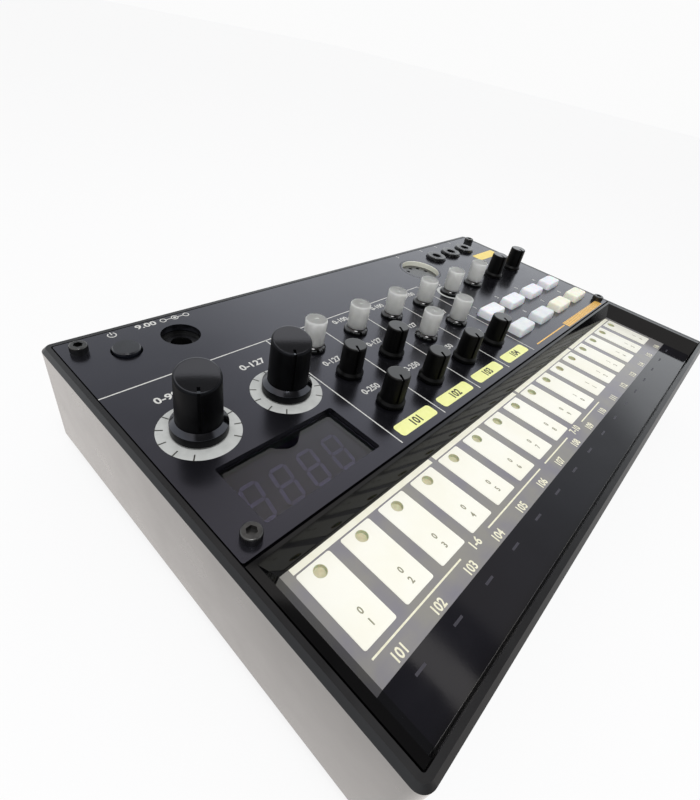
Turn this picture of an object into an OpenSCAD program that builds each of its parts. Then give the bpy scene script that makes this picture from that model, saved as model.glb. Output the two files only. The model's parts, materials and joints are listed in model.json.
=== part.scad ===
// Desktop drum machine: a shallow two-part case with a knob panel, a sunk touch board of
// sixteen pads along the front, sockets along the back edge and six cells in the base.
// Millimetres. Origin at the centre of the footprint on the table, +X right, +Y back, +Z up.

/* [Case] */
// Width of the case, left to right
case_w = 193; // [186:1:235]
// Depth of the case, front to back
case_d = 115; // [113:1:140]
// Radius of the case's upright corners
case_corner_r = 2.5; // [1.5:0.1:4]
// Thickness of the upper case's wall
case_wall = 2; // [1.6:0.1:2.6]
// Bevel along the top outer edge of the rim
rim_bevel = 0.9; // [0.4:0.1:1.2]
// Height of the upper case's lower edge above the table
skirt_h = 4; // [3.6:0.1:4.8]
// Gap between a panel and the wall round it
panel_gap = 0.3; // [0.2:0.05:0.5]
// Width of the shelves that carry the panels
shelf_w = 2; // [1.5:0.1:2.5]
// Thickness of the shelves that carry the panels
shelf_t = 1.5; // [1:0.1:2]

/* [Base] */
// Thickness of the lower case's floor
floor_t = 2; // [1.8:0.1:2.6]
// How far the tub under the flange stands in from the case's side
tub_inset = 3.6; // [3:0.1:5]
// Thickness of the tub's wall, its flange and its locating lip
tub_wall = 1.8; // [1.5:0.1:2]
// Height of the locating lip inside the upper case
lip_h = 2.2; // [1.5:0.1:3]
// How far the rubber feet stand proud of the floor
foot_h = 0.7; // [0.6:0.1:1.2]
// Radius of the rubber feet
foot_r = 6; // [4:0.1:6.5]
// Depth of the pocket that a foot is glued into
foot_pocket = 0.8; // [0.5:0.1:1]

/* [Top panel] */
// Thickness of the top panel
panel_t = 1.8; // [1.5:0.1:2.2]
// Width of the section with the two large knobs and the display
left_section_w = 44.55; // [43:0.1:52]
// Spare width at the right end of the panel
right_end_w = 1; // [0:0.1:3]
// Distance of the front row of knobs from the panel's front edge
front_row_inset = 12.2; // [11.5:0.1:16]
// Distance of the back row of knobs from the panel's back edge
back_row_inset = 32.7; // [32:0.1:36]
// Distance of the sockets from the panel's back edge
socket_inset = 9.5; // [9:0.1:11]

/* [Touch area] */
// Depth of the touch area, front to back
touch_zone_d = 37; // [36.5:0.1:45]
// How far the touch board lies below the top panel
tray_depth = 4.6; // [3.4:0.1:4.8]
// Thickness of the touch board
touch_board_t = 1.6; // [1.2:0.1:2]
// Width of the bezel at the sides of the touch board
bezel_side_w = 1.7; // [1.2:0.1:3]
// Width of the bezel along the back of the touch board
bezel_back_w = 0.8; // [0.8:0.1:1.5]
// How far the bezel's back wall leans in, from its rim down to the board
bezel_back_lean = 2.4; // [0:0.1:2.8]
// How far each of the bezel's side walls leans in
bezel_side_lean = 3.2; // [0:0.1:3.4]
// Number of pads
pad_count = 16; // [8:1:16]
// Gap between two pads
pad_gap = 2.9; // [1.5:0.1:3.5]
// Distance from the bezel to the nearest pad, at the sides
pad_end_gap = 5.2; // [4:0.1:8]
// Distance from the bezel to the pads, at the back
pad_back_gap = 4.2; // [3.4:0.1:5]
// Length of a pad, front to back
pad_l = 16.5; // [12:0.1:18]
// Thickness of the pads' plating
pad_t = 0.12; // [0.05:0.01:0.2]
// Radius of the lamp hole in a pad
pad_hole_r = 1.35; // [1:0.05:1.6]
// Distance of the lamp hole from the pad's back edge
pad_hole_inset = 2.05; // [1.9:0.05:3]

/* [Knobs] */
// Height of a large knob's top above the panel
big_knob_h = 15.3; // [12:0.1:16]
// Radius of a large knob's skirt
big_skirt_r = 5.95; // [5.4:0.05:7]
// Height of a large knob's skirt up to its shoulder
big_skirt_h = 2.2; // [1.4:0.1:2.6]
// Radius of a large knob's body at its top
big_knob_r = 4.6; // [4.2:0.05:5]
// Radius of the round edge of a large knob's top
big_knob_round = 0.5; // [0.3:0.1:1.2]
// Angle at which a large knob's top falls toward its pointer, in degrees
big_knob_slant = 13; // [0:0.5:15]
// Height of a small knob's top above the panel
small_knob_h = 9.2; // [8:0.1:12]
// Radius of a small knob's skirt
small_skirt_r = 3.65; // [3.4:0.05:4.4]
// Radius of a small knob's body at its top
small_knob_r = 3; // [2.8:0.05:3.3]
// Height of the top of a lit knob's skirt above the panel
lit_skirt_h = 1.8; // [1.2:0.1:2.5]
// Gap between a knob and the panel
knob_gap = 0.4; // [0.3:0.05:0.8]
// Radius of a large knob's shaft
big_shaft_r = 3; // [2.5:0.05:3.2]
// Radius of a small knob's shaft
small_shaft_r = 1.75; // [1.5:0.05:2]
// Width of the pointer groove
groove_w = 0.65; // [0.3:0.05:0.8]
// Depth of the pointer groove
groove_depth = 0.4; // [0.3:0.05:0.5]
// Angle of the pointer from the rear at the low end of its travel
knob_rest_angle = 150; // [120:1:150]

/* [Buttons] */
// Width of a function button
button_w = 11.5; // [9:0.1:12]
// Depth of a function button, front to back
button_d = 5.6; // [4.5:0.1:7]
// How far a function button stands proud of the panel
button_h = 2.5; // [1.5:0.1:3.5]
// Distance from the right section's edge to its first column
first_button_inset = 8.8; // [8:0.1:10]
// Distance from the panel's right edge to the last column
last_button_inset = 12.4; // [9:0.1:14]
// Distance of the back row of buttons from the panel's front edge
button_back_inset = 22.7; // [21:0.1:26]
// Distance of the front row of buttons from the panel's front edge
button_front_inset = 10.6; // [9:0.1:12]
// Travel of a button
button_travel = 0.5; // [0.3:0.05:0.6]
// Gap round a button in its hole
button_gap = 0.25; // [0.2:0.05:0.4]
// Radius of the power button
power_r = 3.25; // [2.8:0.05:4]
// How far the power button stands proud of the panel
power_h = 1.1; // [0.4:0.1:1.5]

/* [Display] */
// Width of the display opening
display_w = 31.7; // [26:0.1:32]
// Height of the display opening, front to back
display_d = 15.9; // [12:0.1:16]
// Distance of the display opening from the panel's left edge
display_side_inset = 7.8; // [7.6:0.1:9]
// Distance of the display opening from the panel's front edge
display_front_inset = 3.7; // [3.6:0.1:5]
// Thickness of the display window
window_t = 1.2; // [1:0.1:1.5]
// How far the window rises into its opening
window_rise = 0.4; // [0.4:0.1:1.2]

/* [Sockets] */
// Radius of the power inlet's hole in the panel
dc_hole_r = 5.05; // [4.8:0.05:5.4]
// Radius of the power inlet's barrel hole
dc_barrel_r = 2.75; // [2.6:0.05:3]
// Radius of the power inlet's centre pin
dc_pin_r = 1; // [0.8:0.05:1.05]
// Depth of the barrel hole
dc_barrel_depth = 9; // [8:0.1:9.5]
// Depth of the inlet's face below the panel
dc_face_depth = 2.7; // [2.4:0.1:4]
// Outer radius of the five-pin socket's metal shell
midi_shell_r = 8.2; // [7.8:0.05:8.6]
// Wall of the metal shell
midi_shell_t = 0.45; // [0.4:0.05:0.8]
// Depth of the insulator's face below the panel
midi_face_depth = 1.5; // [0.8:0.1:2]
// Radius of a mini-jack's bore
jack_bore_r = 1.8; // [1.75:0.05:1.85]
// Length of a mini-jack's bore
jack_bore_l = 14; // [12:0.5:15]
// Radius of a mini-jack's collar
jack_collar_r = 4.15; // [3.4:0.05:4.2]
// How far a mini-jack's collar stands proud of the panel
jack_collar_h = 0.9; // [0:0.1:1.5]
// Radius of a mini-jack's hole in the panel
jack_hole_r = 4.45; // [4.4:0.05:4.8]
// Distance between two mini-jacks
jack_pitch = 11.75; // [11:0.05:13]

/* [Inside] */
// Thickness of the main board
board_t = 1.6; // [1.2:0.1:2]
// Height of the potentiometers with their bushings
pot_h = 7.2; // [6.5:0.1:9]
// Side of a small potentiometer
small_pot_w = 9.4; // [8.5:0.1:10]
// Side of a large potentiometer
big_pot_w = 11; // [10.4:0.1:12]
// Running clearance of a shaft in its bushing, on the radius
shaft_clear = 0.05; // [0.02:0.01:0.09]
// Height of a push switch's body
switch_h = 3.5; // [3:0.1:4]
// Side of a push switch
switch_w = 6; // [5:0.1:6.2]
// Radius of the loudspeaker
speaker_r = 18; // [14:0.5:20]
// Height of the loudspeaker
speaker_h = 9; // [7:0.1:12]

/* [Cells] */
// Number of cells
cell_count = 6; // [2:1:6]
// Diameter of a cell
cell_dia = 14.5; // [10.5:0.1:15]
// Length of a cell
cell_l = 50.5; // [44:0.1:51]
// Travel of the battery door before it lifts off
door_travel = 9; // [6:0.5:10]
// Thickness of the battery door
door_t = 1.7; // [1.4:0.1:1.8]

/* [Fasteners] */
// Radius of a panel screw's head
cap_head_r = 2; // [1.7:0.02:2.1]
// Radius of the six-sided socket in a panel screw, over its corners
cap_socket_r = 1.08; // [0.9:0.02:1.16]
// Height of a panel screw's head
cap_head_h = 2; // [1.6:0.1:2.4]
// Radius of a panel screw's shank
cap_shank_r = 1; // [0.9:0.05:1.1]
// Radius of a case screw's shank
case_shank_r = 1.2; // [1:0.05:1.4]
// Length of a case screw under its head
case_screw_l = 14; // [12:0.5:16]

/* [Hidden] */
$fn = 48;
// clearances shared by several fits
near = 0.3;      // two still pieces side by side
press = 0.05;    // a pressed or screwed fit, on the radius
sink = 0.5;      // how deep a rib runs into the wall that it grows from
through = 0.01;  // overshoot of a cut past a face

// heights, from the table up
floor_top = foot_h + floor_t;
cell_z = floor_top + 0.4 + cell_dia / 2;
bay_wall = 1.5;
bay_roof = cell_z + cell_dia / 2 + 0.4;
board_z = bay_roof + 1.2 + 0.5;
board_top = board_z + board_t;
panel_under = board_top + pot_h + 0.4;
panel_top = panel_under + panel_t;
touch_top = panel_top - tray_depth;
touch_under = touch_top - touch_board_t;
tower_top = skirt_h + 6.9;
switch_top = board_top + switch_h;
stem_z = switch_top + 0.4 + button_travel + 0.1;

// plan of the panel
inner_w = case_w - 2 * case_wall;
inner_d = case_d - 2 * case_wall;
inner_r = max(case_corner_r - case_wall, 0.5);
panel_w = inner_w - 2 * panel_gap;
panel_back = inner_d / 2 - panel_gap;
touch_back = -inner_d / 2 + touch_zone_d;
panel_front = touch_back + panel_gap;
panel_d = panel_back - panel_front;
panel_left = -panel_w / 2;

// columns and rows of controls
voices = 4;
column_pitch = (panel_w - left_section_w - right_end_w) / (2 * voices);
row_pitch = (panel_d - front_row_inset - back_row_inset) / 2;
right_section_x = panel_left + left_section_w + voices * column_pitch;
button_pitch = (panel_w / 2 - last_button_inset - right_section_x - first_button_inset) / 3;
function voice_x(v) = panel_left + left_section_w + (v - 0.5) * column_pitch;
function right_x(i) = right_section_x + first_button_inset + (i - 1) * button_pitch;
function row_y(row) = panel_back - back_row_inset - (row - 1) * row_pitch;
socket_y = panel_back - socket_inset;
big_knob_y = panel_front + 30.4;
big_knob_xs = [panel_left + 11.6, panel_left + 35.2];
power_x = panel_left + 13;
dc_x = panel_left + 27.4;
jack_xs = [for (i = [2 : -1 : 0]) panel_w / 2 - 16.1 - i * jack_pitch];
midi_x = jack_xs[0] - 17.9;
midi_y = socket_y - 4.5;
display_x = panel_left + display_side_inset + display_w / 2;
display_y = panel_front + display_front_inset + display_d / 2;

// name and place of every knob
big_knobs = [["time", big_knob_xs[0], big_knob_y], ["depth", big_knob_xs[1], big_knob_y]];
plain_knobs = concat(
    [for (v = [1 : 2]) [str("pitch_", v), voice_x(v), row_y(2)]],
    [for (v = [1 : voices]) [str("decay_", v), voice_x(v), row_y(3)]],
    [["tempo", right_x(3), row_y(1)], ["volume", right_x(4), row_y(1)]]);
lit_knobs = concat(
    [for (v = [1 : voices]) [str("level_", v), voice_x(v), row_y(1)]],
    [for (v = [3 : voices]) [str("tone_", v), voice_x(v), row_y(2)]],
    [["swing", right_x(1), row_y(1)], ["accent", right_x(2), row_y(1)]]);
small_knobs = concat(plain_knobs, lit_knobs);

// place of every function button: back row first
button_places = concat(
    [for (i = [1 : 4]) [right_x(i), panel_front + button_back_inset]],
    [for (i = [1 : 4]) [right_x(i), panel_front + button_front_inset]]);
power_place = [power_x, socket_y];

// touch board and pads
bezel_in_w = panel_w - 2 * bezel_side_w;
bezel_in_back = touch_back - panel_gap - bezel_back_w;
touch_front = -inner_d / 2 + panel_gap;
pad_pitch = (bezel_in_w - 2 * pad_end_gap + pad_gap) / pad_count;
pad_w = pad_pitch - pad_gap;
pad_back = bezel_in_back - pad_back_gap;
pad_xs = [for (i = [0 : pad_count - 1]) (i - (pad_count - 1) / 2) * pad_pitch];
lamp_y = pad_back - pad_hole_inset;

// fasteners
panel_screws_at = [
    for (side = [-1, 1]) [side * (panel_w / 2 - 4.1), panel_front + 3.2],
    for (side = [-1, 1]) [side * (panel_w / 2 - 4.1), panel_back - 4.7]];
panel_boss_r = cap_shank_r + 1.1;
back_screws_at = [
    for (side = [-1, 1]) [side * (case_w / 2 - 10), panel_back - 22.2],
    [midi_x - 50.7, panel_back - 5.2]];
front_screws_at = [for (side = [-1, 0, 1]) [side * (case_w / 2 - 10.5), -case_d / 2 + 8.5]];
case_boss_r = case_shank_r + 2;
board_post_at = [
    for (side = [-1, 1]) [side * (panel_w / 2 - 16), panel_front + 6.2],
    [midi_x - 76.7, panel_back - 5.2], [midi_x - 16.7, panel_back - 5.2]];

// cell bay and battery door
cell_pitch = cell_dia + 0.2;
bay_w = cell_count * cell_pitch + 0.4;
contact_t = 0.4;
spring_l = 1.6;
nub_l = 0.8;
bay_l = cell_l + 2 * contact_t + spring_l + nub_l;
bay_x = -20;
bay_y = 2.5;
door_w = bay_w + 2;
door_l = bay_l + 3;
door_gap = 0.3;
tongue_w = 1.6;
tongue_l = 7;
tongue_t = 0.9;
tongue_ys = [-door_l / 3, 0, door_l / 3];
bay_rim_w = 4.2;
speaker_x = bay_x + door_w / 2 + bay_rim_w + 4 + speaker_r;

// ---- shapes used by several pieces

// A block standing on z = 0 with round upright corners
module rounded_block(w, d, r, h) {
    linear_extrude(h) {
        square([w - 2 * r, d], center = true);
        square([w, d - 2 * r], center = true);
        for (x = [-1, 1], y = [-1, 1])
            translate([x * (w / 2 - r), y * (d / 2 - r)]) circle(r);
    }
}

// The sloping part of a bevelled block's top: a rounded block that narrows by c on each side
module bevel_layer(w, d, r, c) {
    translate([0, d / 2 - r, 0]) rotate([90, 0, 0]) linear_extrude(d - 2 * r)
        polygon([[-w / 2, 0], [w / 2, 0], [w / 2 - c, c], [-w / 2 + c, c]]);
    translate([-w / 2 + r, 0, 0]) rotate([90, 0, 90]) linear_extrude(w - 2 * r)
        polygon([[-d / 2, 0], [d / 2, 0], [d / 2 - c, c], [-d / 2 + c, c]]);
    for (x = [-1, 1], y = [-1, 1])
        translate([x * (w / 2 - r), y * (d / 2 - r), 0]) cylinder(h = c, r1 = r, r2 = r - c);
}

// A rounded block with its top edge bevelled by c
module bevelled_block(w, d, r, h, c) {
    rounded_block(w, d, r, h - c);
    translate([0, 0, h - c]) bevel_layer(w, d, r, c);
}

// A plain block given by its lowest and highest corners
module span(low, high) {
    translate(low) cube(high - low);
}

// The inside of the case's wall, from one height to another
module case_inside(z0, z1, gap = 0) {
    translate([0, 0, z0]) rounded_block(inner_w - 2 * gap, inner_d - 2 * gap, inner_r, z1 - z0);
}

// A straight hole or post, from one height to another
module post(place, r, z0, z1) {
    translate([place[0], place[1], z0]) cylinder(r = r, h = z1 - z0);
}

// ---- case

module upper_case() {
    color("#2a2a2c") difference() {
        union() {
            difference() {
                translate([0, 0, skirt_h])
                    bevelled_block(case_w, case_d, case_corner_r, panel_top - skirt_h, rim_bevel);
                case_inside(skirt_h - through, panel_top + through);
            }
            panel_shelf();
            touch_shelf();
            cross_beam();
            for (p = panel_screws_at) panel_boss(p);
            for (p = back_screws_at) back_boss(p);
            for (p = front_screws_at) front_boss(p);
        }
        for (p = panel_screws_at)
            post(p, cap_shank_r + press, board_top + 0.8, panel_under + through);
        for (p = concat(back_screws_at, front_screws_at))
            post(p, case_shank_r + press, tower_top, skirt_h + case_screw_l + 2.2);
    }
}

// Shelf under the top panel, along the sides and the back
module panel_shelf() {
    z0 = panel_under - shelf_t;
    for (side = [0, 1]) mirror([side, 0, 0])
        span([inner_w / 2 - shelf_w, touch_back, z0], [inner_w / 2 + sink, inner_d / 2, panel_under]);
    span([-inner_w / 2, inner_d / 2 - shelf_w, z0], [inner_w / 2, inner_d / 2 + sink, panel_under]);
}

// Shelf under the touch board, along the sides and the front
module touch_shelf() {
    z0 = touch_under - shelf_t;
    for (side = [0, 1]) mirror([side, 0, 0])
        span([inner_w / 2 - shelf_w, -inner_d / 2, z0], [inner_w / 2 + sink, touch_back, touch_under]);
    span([-inner_w / 2, -inner_d / 2 - sink, z0], [inner_w / 2, -inner_d / 2 + shelf_w, touch_under]);
}

// Beam between the two areas: it carries the panel's front edge and the touch board's back edge
module cross_beam() {
    beam_w = inner_w / 2 + sink;
    span([-beam_w, touch_back, touch_under - shelf_t], [beam_w, touch_back + 2.3, panel_under]);
    span([-beam_w, touch_back - 2.6, touch_under - shelf_t], [beam_w, touch_back + through, touch_under]);
}

module panel_boss(p) {
    side = sign(p[0]);
    post(p, panel_boss_r, board_top + near, panel_under);
    translate([side * (abs(p[0]) + inner_w / 2 + sink) / 2, p[1], (board_top + near + panel_under) / 2])
        cube([inner_w / 2 + sink - abs(p[0]), 2, panel_under - board_top - near], center = true);
}

// Boss that passes through the main board and clamps it with a shoulder
module back_boss(p) {
    post(p, case_boss_r, tower_top + near, panel_under);
    post(p, case_boss_r + 1.2, board_top, panel_under);
    if (abs(p[0]) > case_w / 4)
        translate([sign(p[0]) * (abs(p[0]) + inner_w / 2 + sink) / 2, p[1], (board_top + near + panel_under) / 2])
            cube([inner_w / 2 + sink - abs(p[0]), 2, panel_under - board_top - near], center = true);
    else
        span([p[0] - 1, p[1], board_top + near], [p[0] + 1, inner_d / 2 + sink, panel_under]);
}

module front_boss(p) {
    post(p, case_boss_r, tower_top + near, touch_under);
    span([p[0] - 1, -inner_d / 2 - sink, tower_top + 2], [p[0] + 1, p[1], touch_under]);
}

module lower_case() {
    tub_w = case_w - 2 * tub_inset;
    tub_d = case_d - 2 * tub_inset;
    color("#242426") difference() {
        union() {
            difference() {
                translate([0, 0, foot_h])
                    rounded_block(tub_w, tub_d, case_corner_r, skirt_h + tub_wall - foot_h);
                translate([0, 0, floor_top])
                    rounded_block(tub_w - 2 * tub_wall, tub_d - 2 * tub_wall, case_corner_r - 1, skirt_h);
            }
            difference() {
                case_inside(skirt_h, skirt_h + tub_wall + lip_h, near);
                case_inside(skirt_h - through, skirt_h + 2 * tub_wall + lip_h, near + tub_inset);
                case_inside(skirt_h + tub_wall, skirt_h + 2 * tub_wall + lip_h, near + 1.4);
            }
            bay_box();
            for (p = concat(back_screws_at, front_screws_at))
                post(p, case_boss_r + 1, foot_h, tower_top);
            for (p = board_post_at) board_post(p);
            translate([speaker_x, bay_y, foot_h]) difference() {
                cylinder(r = speaker_r + near + 1.5, h = floor_t + 2.5);
                translate([0, 0, floor_t]) cylinder(r = speaker_r + near, h = 3);
            }
        }
        for (p = concat(back_screws_at, front_screws_at)) {
            post(p, case_shank_r + 0.25, 0, tower_top + through);
            post(p, case_shank_r + 1.5, 0, skirt_h + 1.2);
        }
        bay_hollow();
        speaker_grille();
        for (p = feet_at) post(p, foot_r + press, 0, foot_h + foot_pocket);
    }
}

// A post under the main board, with a foot that widens on the floor
module board_post(p) {
    post(p, 2.2, foot_h, board_z);
    post(p, 3.2, foot_h, floor_top + 3);
}

// Walls and roof round the cells, on a frame that the battery door closes against
module bay_box() {
    frame_w = door_w + 2 * bay_rim_w;
    frame_front = bay_y - door_l / 2 - door_travel - 2.5;
    frame_back = bay_y + door_l / 2 + 2.5;
    span([bay_x - frame_w / 2, frame_front, foot_h], [bay_x + frame_w / 2, frame_back, floor_top + 1.8]);
    span([bay_x - bay_w / 2 - bay_wall, bay_y - bay_l / 2 - bay_wall, floor_top],
         [bay_x + bay_w / 2 + bay_wall, bay_y + bay_l / 2 + bay_wall, bay_roof + 1.2]);
}

// Everything cut out of the bay: the room for the cells, the door's seat and its tongues' way
module bay_hollow() {
    tab_top = floor_top - door_gap - tongue_t - door_gap;
    span([bay_x - bay_w / 2, bay_y - bay_l / 2, 0], [bay_x + bay_w / 2, bay_y + bay_l / 2, bay_roof]);
    span([bay_x - door_w / 2 - door_gap, bay_y - door_l / 2 - door_travel - door_gap, 0],
         [bay_x + door_w / 2 + door_gap, bay_y + door_l / 2 + door_gap, floor_top]);
    for (side = [0, 1], y = tongue_ys)
        translate([bay_x, bay_y + y, 0]) mirror([side, 0, 0]) {
            pocket_w = door_w / 2 + tongue_w + door_gap;
            span([0, -tongue_l / 2 - door_travel - door_gap, tab_top],
                 [pocket_w, tongue_l / 2 + door_gap, floor_top]);
            span([0, -tongue_l / 2 - door_travel - door_gap, 0],
                 [pocket_w, tongue_l / 2 - door_travel + door_gap, floor_top]);
        }
}

// Rings of small holes in the floor in front of the loudspeaker
module speaker_grille() {
    for (ring = [0 : 4], i = [0 : max(6 * ring, 1) - 1])
        rotate_about([speaker_x, bay_y], i * 360 / max(6 * ring, 1))
            post([speaker_x + ring * 3.2, bay_y], 0.9, 0, floor_top + through);
}

module rotate_about(centre, angle) {
    translate([centre[0], centre[1], 0]) rotate([0, 0, angle])
        translate([-centre[0], -centre[1], 0]) children();
}

feet_at = [for (x = [-1, 1], y = [-1, 1]) [x * (case_w / 2 - 24.5), y * (case_d / 2 - 13.5)]];

module rubber_feet() {
    color("#1c1c1c") for (p = feet_at)
        translate([p[0], p[1], 0]) {
            cylinder(r1 = foot_r - 0.5, r2 = foot_r, h = 0.5);
            translate([0, 0, 0.5]) cylinder(r = foot_r, h = foot_h + foot_pocket - 0.5);
        }
}

module battery_door() {
    z0 = foot_h;
    top = foot_h + door_t;
    color("#242426") translate([bay_x, bay_y, 0]) difference() {
        union() {
            span([-door_w / 2, -door_l / 2, z0], [door_w / 2, door_l / 2, top]);
            for (side = [0, 1], y = tongue_ys) mirror([side, 0, 0])
                span([door_w / 2 - 1, y - tongue_l / 2, top - tongue_t],
                     [door_w / 2 + tongue_w, y + tongue_l / 2, top]);
        }
        for (i = [0 : 5])
            span([-9, door_l / 2 - 6 - i * 1.6, z0 - through], [9, door_l / 2 - 5.2 - i * 1.6, z0 + 0.4]);
    }
}

// ---- panels

module top_panel() {
    color("#35353a") difference() {
        translate([0, (panel_back + panel_front) / 2, panel_under])
            rounded_block(panel_w, panel_d, inner_r, panel_t);
        for (k = big_knobs) panel_hole([k[1], k[2]], big_shaft_r + 0.6);
        for (k = small_knobs) panel_hole([k[1], k[2]], small_shaft_r + 0.6);
        for (p = button_places)
            translate([p[0], p[1], panel_under - through])
                rounded_block(button_w + 2 * button_gap, button_d + 2 * button_gap, 1, panel_t + 1);
        panel_hole(power_place, power_r + 0.4);
        panel_hole([dc_x, socket_y], dc_hole_r);
        panel_hole([midi_x, midi_y], midi_shell_r + near);
        for (x = jack_xs) panel_hole([x, socket_y], jack_hole_r);
        for (p = panel_screws_at) panel_hole(p, cap_shank_r + 0.2);
        translate([display_x, display_y, panel_under - through])
            rounded_block(display_w, display_d, 0.6, panel_t + 1);
    }
}

module panel_hole(place, r) {
    post(place, r, panel_under - through, panel_top + through);
}

module touch_bezel() {
    back = touch_back - panel_gap;
    front = touch_front;
    past = 1;
    low = touch_top - past;
    high = panel_top + past;
    back_rise = bezel_back_lean / tray_depth;
    side_rise = bezel_side_lean / tray_depth;
    back_low = bezel_in_back - back_rise * (panel_top - low);
    side_low = bezel_in_w / 2 - side_rise * (panel_top - low);
    side_high = bezel_in_w / 2 + side_rise * past;
    color("#1b1b1d") difference() {
        span([-panel_w / 2, front, touch_top], [panel_w / 2, back, panel_top]);
        intersection() {
            translate([0, back, 0]) rotate([90, 0, 0]) linear_extrude(back - front + past)
                polygon([[-side_low, low], [side_low, low], [side_high, high], [-side_high, high]]);
            translate([-panel_w / 2, 0, 0]) rotate([90, 0, 90]) linear_extrude(panel_w)
                polygon([[front - past, low], [back_low, low],
                    [bezel_in_back + back_rise * past, high], [front - past, high]]);
        }
    }
}

module touch_board() {
    color("#77777c") difference() {
        span([-panel_w / 2, touch_front, touch_under], [panel_w / 2, touch_back - panel_gap, touch_top]);
        for (x = pad_xs) post([x, lamp_y], pad_hole_r, touch_under - 1, touch_top + 1);
    }
}

module touch_pads() {
    color("#efe6cf") for (x = pad_xs) difference() {
        translate([x, pad_back - pad_l / 2, touch_top]) rounded_block(pad_w, pad_l, 0.5, pad_t);
        post([x, lamp_y], pad_hole_r, touch_top - 1, touch_top + 1);
    }
}

// A lamp under each pad, its dome in the board's hole and its flange under the board
module pad_lamps() {
    color("#e9dcb4") for (x = pad_xs) {
        post([x, lamp_y], pad_hole_r - 0.1, touch_under - 0.5, touch_top - 0.7);
        post([x, lamp_y], pad_hole_r + 0.5, touch_under - 1.1, touch_under);
    }
}

// ---- fasteners

module panel_screws() {
    color("#2c2c2e") for (p = panel_screws_at) difference() {
        union() {
            post(p, cap_shank_r, panel_under - 5, panel_top + through);
            post(p, cap_head_r, panel_top, panel_top + cap_head_h - 0.25);
            translate([p[0], p[1], panel_top + cap_head_h - 0.25])
                cylinder(r1 = cap_head_r, r2 = cap_head_r - 0.25, h = 0.25);
        }
        translate([p[0], p[1], panel_top + cap_head_h - 1]) cylinder(r = cap_socket_r, h = 2, $fn = 6);
    }
}

module case_screws() {
    seat = skirt_h + 1.2;
    color("#8a8c90") for (p = concat(back_screws_at, front_screws_at)) difference() {
        union() {
            post(p, case_shank_r, seat - through, seat + case_screw_l);
            post(p, case_shank_r + 1.2, seat - 1.8, seat);
        }
        for (a = [0, 90]) translate([p[0], p[1], seat - 1.8]) rotate([0, 0, a])
            cube([2.6, 0.6, 1.6], center = true);
    }
}

// ---- power

module battery_cells() {
    color("#b8bcc2") for (i = [0 : cell_count - 1])
        translate([bay_x + (i - (cell_count - 1) / 2) * cell_pitch, bay_y, cell_z])
            rotate([90, 0, i % 2 * 180]) translate([0, 0, (spring_l - nub_l - cell_l) / 2]) {
                cylinder(r = cell_dia / 2, h = cell_l - 1);
                translate([0, 0, cell_l - 1 - through]) cylinder(r = 2.7, h = 1 + through);
            }
}

// A plate at each end of each cell: a raised button at the plus end, a coil's cone at the minus end
module battery_contacts() {
    color("#c9cbd0") for (i = [0 : cell_count - 1], end = [0, 1])
        translate([bay_x + (i - (cell_count - 1) / 2) * cell_pitch, bay_y, cell_z])
            rotate([0, 0, (i % 2 + end) * 180]) translate([0, bay_l / 2, 0]) rotate([90, 0, 0]) {
                translate([0, 0, contact_t / 2 + press / 2]) cube([9, 9, contact_t], center = true);
                if (end == 0) translate([0, 0, contact_t]) cylinder(r1 = 4, r2 = 2.5, h = spring_l - 0.1);
                else translate([0, 0, contact_t]) cylinder(r1 = 3, r2 = 2, h = nub_l - 0.1);
            }
}

// ---- electronics

module main_board() {
    edge = panel_w / 2 - 2.4;
    color("#1f5a34") difference() {
        span([-edge, touch_back + 2.3 + near, board_z], [edge, inner_d / 2 - shelf_w - near, board_top]);
        for (p = back_screws_at) post(p, case_boss_r + near, board_z - 1, board_top + 1);
        socket_cut([dc_x, socket_y], dc_body);
        for (x = jack_xs) socket_cut([x, socket_y - 0.5], jack_body);
    }
}

dc_body = [12, 13];
jack_body = [9, 11];

module socket_cut(place, size) {
    translate([place[0], place[1], board_z])
        cube([size[0] + 0.4, size[1] + 0.4, 4 * board_t], center = true);
}

// Integrated circuits and capacitors: x and y from the board's right back corner, then their size
chips = [[30, 34, 12, 12, 1.4], [48, 36, 9, 4, 1.5], [48, 44, 9, 4, 1.5], [20, 48, 9, 4, 1.5],
         [34, 54, 5, 6, 1.6], [62, 12, 7, 7, 1.2]];

module board_components() {
    color("#18181a") for (c = chips)
        translate([panel_w / 2 - c[0], panel_back - c[1], board_z - c[4] / 2])
            cube([c[2], c[3], c[4]], center = true);
}

module potentiometers() {
    color("#7d8084") {
        for (k = big_knobs) potentiometer([k[1], k[2]], big_pot_w, big_shaft_r);
        for (k = small_knobs) potentiometer([k[1], k[2]], small_pot_w, small_shaft_r);
    }
}

module potentiometer(place, w, shaft_r) {
    difference() {
        union() {
            translate([place[0], place[1], board_top]) rounded_block(w, w, 0.6, pot_h - 1.2);
            post(place, shaft_r + 1.3, board_top + pot_h - 1.3, board_top + pot_h);
        }
        post(place, shaft_r + shaft_clear, board_top + 0.6, board_top + pot_h + 1);
    }
}

module tact_switches() {
    color("#3c3d40") for (p = concat(button_places, [power_place])) {
        translate([p[0] - switch_w / 2, p[1] - switch_w / 2, board_top]) cube([switch_w, switch_w, switch_h]);
        post(p, 1.6, switch_top - through, switch_top + 0.4);
    }
}

module display_window() {
    color("#15151c") translate([display_x, display_y, panel_under - window_t]) {
        rounded_block(display_w + 2, display_d + 2, 1, window_t);
        rounded_block(display_w - near, display_d - near, 0.5, window_t + window_rise);
    }
}

module display_module() {
    color("#3a3d45") translate([display_x, display_y, board_top])
        rounded_block(display_w - 2, display_d - 2, 0.6, panel_under - window_t - near - board_top);
}

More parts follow.
